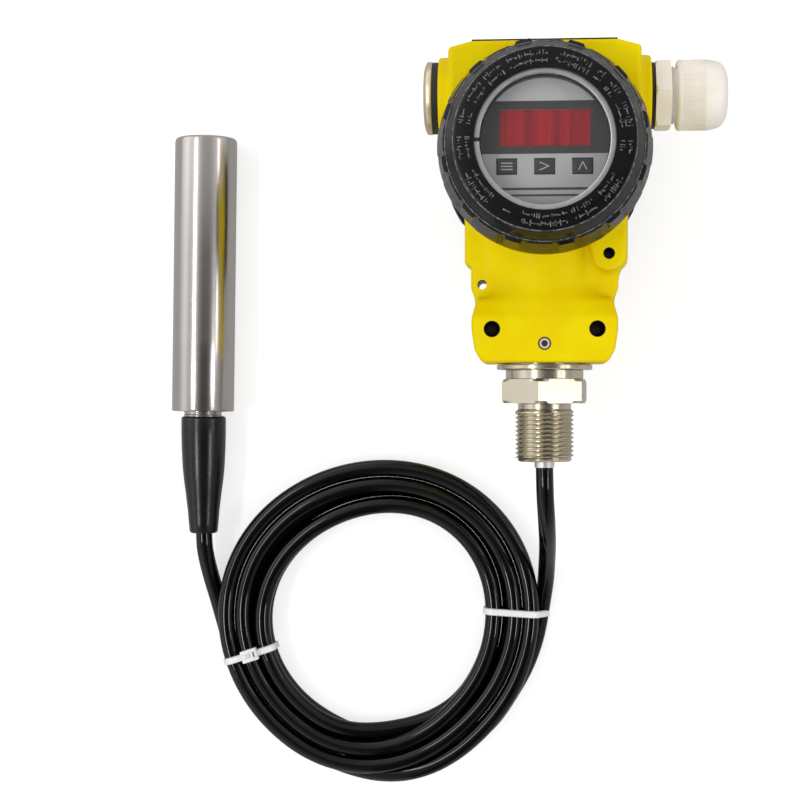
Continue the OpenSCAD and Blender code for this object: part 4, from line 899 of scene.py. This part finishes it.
gland_profile = [(6.5, 25.8), (9.5, 25.8), *tapped(9.95, 26.2, 36.0, 1.5, -0.6), (9.95, 37.2),
                 (11.7, 37.2), (12.7, 37.7), (12.7, 37.9), (12.7, 41.7), (12.7, 41.9), (11.7, 42.4),
                 (9.6, 42.4), (9.2, 42.8), *tapped(9.8, 43.2, 52.6, 1.5, -0.6), (9.8, 53.0), (9.5, 53.4),
                 (8.1, 53.4), (8.1, 45.4), (6.5, 45.4)]
gland_body = turned("gland_hexagon", gland_profile, gland_place, ivory, 144, hexagonal(22, 30),
                    closed=True, sharp=25)
belongs(gland_body, "base", "gland_ivory", "gland_body")
dress(rubber, "gland_bush", "plug_seal", "stem_seal", "cable_grommet", "probe_seal", "sensor_seal")
dress(ivory, "gland_claw")

NUT_X0, NUT_R, RIBS = 44.4, 11.9, 116


def ribbed(r, h, a):
    """Radius of the nut with its grip ribs, 0.7 mm apart."""
    if not 45.9 < h < 53.4 or r < 11.85:
        return r
    return r - 0.32 * (0.5 + 0.5 * math.cos(a * RIBS))


nut_profile = [(9.85, NUT_X0), (NUT_R - 0.8, NUT_X0), (NUT_R - 0.2, NUT_X0 + 0.3), (NUT_R, NUT_X0 + 0.9),
               (NUT_R, 45.8), (NUT_R, 46.0), (NUT_R, 46.2), (NUT_R, 53.3), (NUT_R, 53.5), (11.92, 54.4),
               (11.7, 55.8), (11.4, 57.2), (11.05, 58.5), (10.5, 59.4), (9.6, 60.2), (8.4, 60.8),
               (7.4, 61.2), (6.9, 61.3), (6.5, 61.0), (6.5, 55.9), (9.85, 55.9)]
nut = turned("gland_dome_nut", nut_profile, gland_place, ivory, 440, ribbed, closed=True, sharp=50)
belongs(nut, "gland_nut_turn", "gland_ivory", "gland_nut")

# Blanking plug
# The left-hand entry is shut by a threaded plug with a key socket, turned from brass and nickel
# plated. It seats on an O-ring.

# The nickel is warm and pale, with a clean but slightly uneven shine
plug_metal = metal("nickel_plated_brass", "#D8CCAE", ((1.2, 2.0, (1, 1, 0.2)), 0.3, 0.42))
plug_place = frame_at((0, ENTRY_Y, STEM_Z), "-X")
plug = turned("turned_plug", [(0, 25.8), (9.5, 25.8), *tapped(9.95, 26.2, 37.2, 1.5, -0.6), (9.95, 38.0),
                              (12.2, 38.0), (12.35, 38.2), (12.35, 39.5), (12.1, 39.9), (11.0, 40.4, 0.3),
                              (9.6, 40.75), (9.0, 40.8), (6.9, 40.8), (6.4, 40.4), (6.3, 34.8), (0, 34.8)],
              plug_place, plug_metal, 96,
              lambda r, h, a: hexagonal(10.0)(r, h, a) if h in (40.4, 34.8) and r > 6 else r)
belongs(plug, "plug_turn", "plug_metal", "blanking_plug")

# Stem
# The process connection is one bar of stainless steel, turned and milled: spigot, shoulder, hexagon
# and an M20 thread. A loose collar lies under the foot, and the cable leaves in a crimped ferrule.

# Turned steel is bright, with shallow tool lines that draw its highlights out
bright = metal("turned_stainless_steel", "#CDC6B3", ((0.5, 2.0, (1, 3, 1)), 0.16, 0.27),
               ((0.35, 1.0, (0.02, 1, 0.02)), 0.0004))
stem_place = frame_at((0, FOOT_Y, STEM_Z), "-Y")
PITCH, THREAD_R = 1.5, 10.0


def thread_and_hexagon(r, h, a):
    """Radius along the stem: a hexagon 27 mm across its flats, then a helical thread."""
    if 4.9 <= h <= 13.1 and r > 13:
        return hexagonal(27, 7.5)(r, h, a)
    if 15.9 < h < 32.2 and r > 8:
        wave = abs(((h / PITCH - a / (2 * math.pi)) % 1) * 2 - 1)
        ease = min(1, (h - 15.9) / 1.2)
        return r - 1.0 * ease * min(max(1.15 * wave - 0.1, 0), 0.9)
    return r


threaded = [(THREAD_R - max(0, h - 31.5) * 1.0, h) for h in np.arange(16.0, 32.2, 0.15)]
stem_profile = [(3.4, -20), (11, -20), (12, -19), (12, -5), (10.25, -5), (10.25, -3), (12, -3), (12, 0.2),
                (12, 1.7), (12.9, 1.7), (13.2, 2.0), (13.2, 4.7), (13.0, 4.9), (14.2, 4.92), (15.59, 5.75),
                (15.59, 5.9), (15.59, 12.1), (15.59, 12.25), (14.2, 13.08), (9.4, 13.1), (9.0, 13.4),
                (9.0, 15.0), (9.3, 15.4), (10.0, 15.9), *threaded, (9.3, 32.25), (8.6, 32.9, 0.15),
                (5.6, 32.9), (5.5, 32.7), (5.5, 23.9), (3.4, 23.9)]
stem = turned("turned_stem", stem_profile, stem_place, bright, 144, thread_and_hexagon,
              closed=True, sharp=28)
belongs(stem, "base", "stainless", "process_connection")
collar = turned("loose_collar", [(12.05, 0), (15.9, 0), (16.25, 0.3), (16.25, 1.4), (15.9, 1.7),
                                 (12.05, 1.7)], stem_place, bright, closed=True, sharp=28)
belongs(collar, "base", "stainless", "lock_collar")
# Soft aluminium is pale and dull, with shallow dents from the crimping jaws
crimped = metal("crimped_soft_aluminium", "#EAE7E2", (1, 0.4, 0.55), (1.5, 0.02))
ferrule = turned("crimped_ferrule", [(3.0, 25.9), (3.4, 25.9), (3.4, 34.6), (3.3, 35.0), (3.05, 35.0)],
                 stem_place, crimped, 48, closed=True, sharp=40)
belongs(ferrule, "base", "stainless", "cable_ferrule")
dress(jacket, "cable_core", "probe_core")

# Probe
# A stainless tube, ground and brushed round its girth, with the sensor inside, a nose cap with four
# inlet holes and an end gland. A moulded rubber boot grips the gland's spigot and the cable.
BELT_LINES = (0.3, 2.0, (0.03, 1, 0.03))
# The grinding belt leaves fine lines round the tube, 0.3 mm apart, that spread its highlights
brushed = metal("brushed_stainless_steel", "#BCB7B3", (BELT_LINES, 0.17, 0.23), (BELT_LINES, 0.0003))
PROBE_X, PROBE_R, PROBE_Y0, PROBE_Y1, PROBE_LEAN = -122.7, 11.2, -86.0, 12.9, -0.73
probe_place = (Matrix.Translation((PROBE_X + 0.35, 0, PROBE_R))
               @ Matrix.Rotation(math.radians(PROBE_LEAN), 4, "Z") @ frame_at((0, 0, 0), "+Y"))
tube = turned("probe_casing", [(9.5, PROBE_Y0), (10.6, PROBE_Y0), (11.05, PROBE_Y0 + 0.15),
                               (PROBE_R, PROBE_Y0 + 0.6), (PROBE_R, -60), (PROBE_R, -30),
                               (PROBE_R, PROBE_Y1 - 1.6), (11.0, PROBE_Y1 - 0.7), (10.5, PROBE_Y1 - 0.15),
                               (10.0, PROBE_Y1), (9.5, PROBE_Y1)],
              probe_place, brushed, 128, closed=True, sharp=28)
belongs(tube, "base", "probe_steel", "probe_tube")
# The nose cap has four inlet holes in front of the sensor
nose_cap = turned("drilled_nose_cap", [(0, 7.9), (7.3, 7.9), (7.3, 3.9), (9.4, 3.9), (9.45, 4.2),
                                       (9.45, PROBE_Y1 - 0.5), (9.2, PROBE_Y1 - 0.15), (8.8, PROBE_Y1),
                                       (0, PROBE_Y1)], probe_place, brushed, 128)
inlets = []
for r, angle in ((0, 0), (4.75, 90), (4.75, 210), (4.75, 330)):
    a = math.radians(angle)
    at_inlet = probe_place @ Matrix.Translation((r * math.cos(a), r * math.sin(a), 0))
    inlets.append(turned("drill", [(0, 6), (1.25, 6), (1.25, PROBE_Y1 - 0.3), (1.6, PROBE_Y1 + 0.05),
                                   (1.6, PROBE_Y1 + 3), (0, PROBE_Y1 + 3)], at_inlet, bright, 40))
cut(nose_cap, *inlets)
belongs(nose_cap, "base", "probe_steel", "probe_nose_cap")
dress(brushed, "sensor_capsule", "sensor_ring")
end_gland = turned("turned_end_gland", [(3.05, -105.8), (4.55, -105.8), (4.55, -87.8), (6.9, -87.8),
                                        (6.9, -87.4), (6.6, -87.1), (6.6, -86.6), (6.9, -86.3), (6.9, -86.0),
                                        (9.45, -86.0), (9.45, -72), (3.05, -72)],
                   probe_place, brushed, closed=True, sharp=50)
belongs(end_gland, "base", "probe_steel", "probe_end_gland")

# Moulded neoprene is black and smooth, with a broad soft shine along the boot
boot_rubber = finish("moulded_black_neoprene", {"IOR": 1.52, "Specular IOR Level": 0.4},
                     (6, "#0A080A", "#100E10", 0.35, 0.65), (1.2, 0.2, 0.28), (2.5, 0.008))
BOOT_Y = -130.1
boot = turned("moulded_boot", [(3.05, BOOT_Y + 0.3), (4.3, BOOT_Y), (4.8, BOOT_Y + 0.2), (5.1, BOOT_Y + 0.9),
                               (5.35, -126.5), (5.75, -121.8), (6.45, -116), (7.15, -110.8), (7.6, -106),
                               (7.9, -100), (8.05, -94), (8.05, -88.8), (7.9, -88.15), (7.3, -87.8),
                               (4.6, -87.8), (4.6, -105.8), (3.05, -105.8)],
              frame_at((PROBE_X - 0.55, 0, 11.0), "+Y"), boot_rubber, closed=True, sharp=50)
belongs(boot, "base", "boot_black", "strain_relief")

# Floor, light and background
# The object lies on a white table. Long soft panels stand at its left and right, two near ones draw
# the light lines on the coil and a low one draws the probe's. Pale walls all round light the rest.
floor_mesh = bpy.data.meshes.new("table")
floor_mesh.from_pydata([(-4, -4, 0), (4, -4, 0), (4, 4, 0), (-4, 4, 0)], [], [(0, 1, 2, 3)])
table = placed("table", floor_mesh)
# The camera sees the table evenly lit; mirrored in metal it is darker, and it still takes shadows
paper = bpy.data.materials.new("white_table")
tree = emptied(paper)
path = add_node(tree, "LightPath")
tone = add_node(tree, "MixRGB", {"Color1": (0.5, 0.5, 0.5, 1), "Color2": (0.32, 0.32, 0.32, 1)},
                {"Fac": path.outputs["Is Glossy Ray"]})
matt = add_node(tree, "BsdfDiffuse", None, {"Color": tone.outputs["Color"]})
direct = add_node(tree, "Math", {"operation": "ADD", "use_clamp": True},
                  {0: path.outputs["Is Camera Ray"], 1: path.outputs["Is Transmission Ray"]})
mirrored_part = add_node(tree, "Math", {"operation": "MULTIPLY", 1: 0.35},
                         {0: path.outputs["Is Glossy Ray"]})
seen = add_node(tree, "Math", {"operation": "MAXIMUM"}, {0: direct.outputs[0], 1: mirrored_part.outputs[0]})
lit = add_node(tree, "Math", {"operation": "MULTIPLY", 1: 0.62}, {0: seen.outputs[0]})
glow = add_node(tree, "Emission", {"Color": (1, 1, 1, 1)}, {"Strength": lit.outputs[0]})
both = add_node(tree, "AddShader", None, {0: matt.outputs[0], 1: glow.outputs[0]})
add_node(tree, "OutputMaterial", None, {"Surface": both.outputs[0]})
floor_mesh.materials.append(paper)

bpy.context.scene.view_settings.view_transform = "Standard"
world = bpy.data.worlds.new("studio")
bpy.context.scene.world = world
tree = emptied(world)
place = add_node(tree, "TexCoord")
height = add_node(tree, "SeparateXYZ", None, {"Vector": place.outputs["Generated"]})
# Brightness of what the metal mirrors, by degrees from the vertical: left of it, then right
bearing = add_node(tree, "Math", {"operation": "ARCTAN2"}, {0: height.outputs["X"], 1: height.outputs["Z"]})
round_share = add_node(tree, "MapRange", {"From Min": -math.pi, "From Max": math.pi},
                       {"Value": bearing.outputs[0]})
ramp = add_node(tree, "ValToRGB", None, {"Fac": round_share.outputs["Result"]})
steps = [(-150, 0.5), (-95, 0.6), (-80, 0.85), (-68, 1.25), (-56, 1.05), (-46, 0.6), (-20, 0.5),
         (-11, 0.3), (-3, 0.13), (6, 0.07), (26, 0.07), (36, 0.2), (48, 0.45), (60, 0.5), (75, 0.42),
         (95, 0.38), (150, 0.4)]
for degrees, level in steps:
    stop = ramp.color_ramp.elements.new((degrees + 180) / 360)
    stop.color = (level, level, level, 1)
ramp.color_ramp.elements.remove(ramp.color_ramp.elements[0])
ramp.color_ramp.elements.remove(ramp.color_ramp.elements[-1])
# The wall beyond the nose is lighter than the one in front
beyond = add_node(tree, "MapRange", {"From Min": 0.0, "From Max": 0.3, "To Min": 0.0, "To Max": 0.5},
                  {"Value": height.outputs["Y"]})
walls = add_node(tree, "Math", {"operation": "ADD"}, {0: ramp.outputs["Color"], 1: beyond.outputs["Result"]})
# The eye sees white walls, soft light comes from slightly darker ones, and metal mirrors the ramp
path = add_node(tree, "LightPath")
direct = add_node(tree, "Math", {"operation": "MAXIMUM"},
                  {0: path.outputs["Is Camera Ray"], 1: path.outputs["Is Transmission Ray"]})
even = add_node(tree, "Math", {"operation": "MULTIPLY_ADD", 1: 0.15, 2: 0.85}, {0: direct.outputs[0]})
strength = add_node(tree, "Mix", None, {0: path.outputs["Is Glossy Ray"], 2: even.outputs[0],
                                        3: walls.outputs[0]})
sky = add_node(tree, "Background", {"Color": (1, 1, 1, 1)}, {"Strength": strength.outputs[0]})
add_node(tree, "OutputWorld", None, {"Surface": sky.outputs[0]})


def soft_panel(name, place, target, size, watts):
    """A rectangular lamp that faces a point; size is its length along Y and its width."""
    lamp = bpy.data.lights.new(name, "AREA")
    lamp.shape, lamp.size, lamp.size_y, lamp.energy = "RECTANGLE", *size, watts
    panel = placed(name, lamp)
    panel.location = place
    panel.rotation_euler = (Vector(target) - Vector(place)).to_track_quat("-Z", "Y").to_euler()


soft_panel("left_panel", (-1.25, 0.45, 2.2), (-0.05, 0.45, 0.03), (1.5, 0.26), 10)
soft_panel("left_near_panel", (-1.25, -0.55, 2.2), (-0.05, -0.55, 0.03), (0.5, 0.26), 7.8)
soft_panel("right_panel", (1.69, -0.175, 1.8), (0.0, -0.175, 0.03), (0.15, 0.46), 0.95)
soft_panel("right_near_panel", (1.69, -0.525, 1.8), (0.0, -0.525, 0.03), (0.55, 0.36), 6.2)
soft_panel("low_panel", (1.82, 0.4, 1.2), (-0.12, 0.4, 0.02), (1.1, 0.17), 2.9)
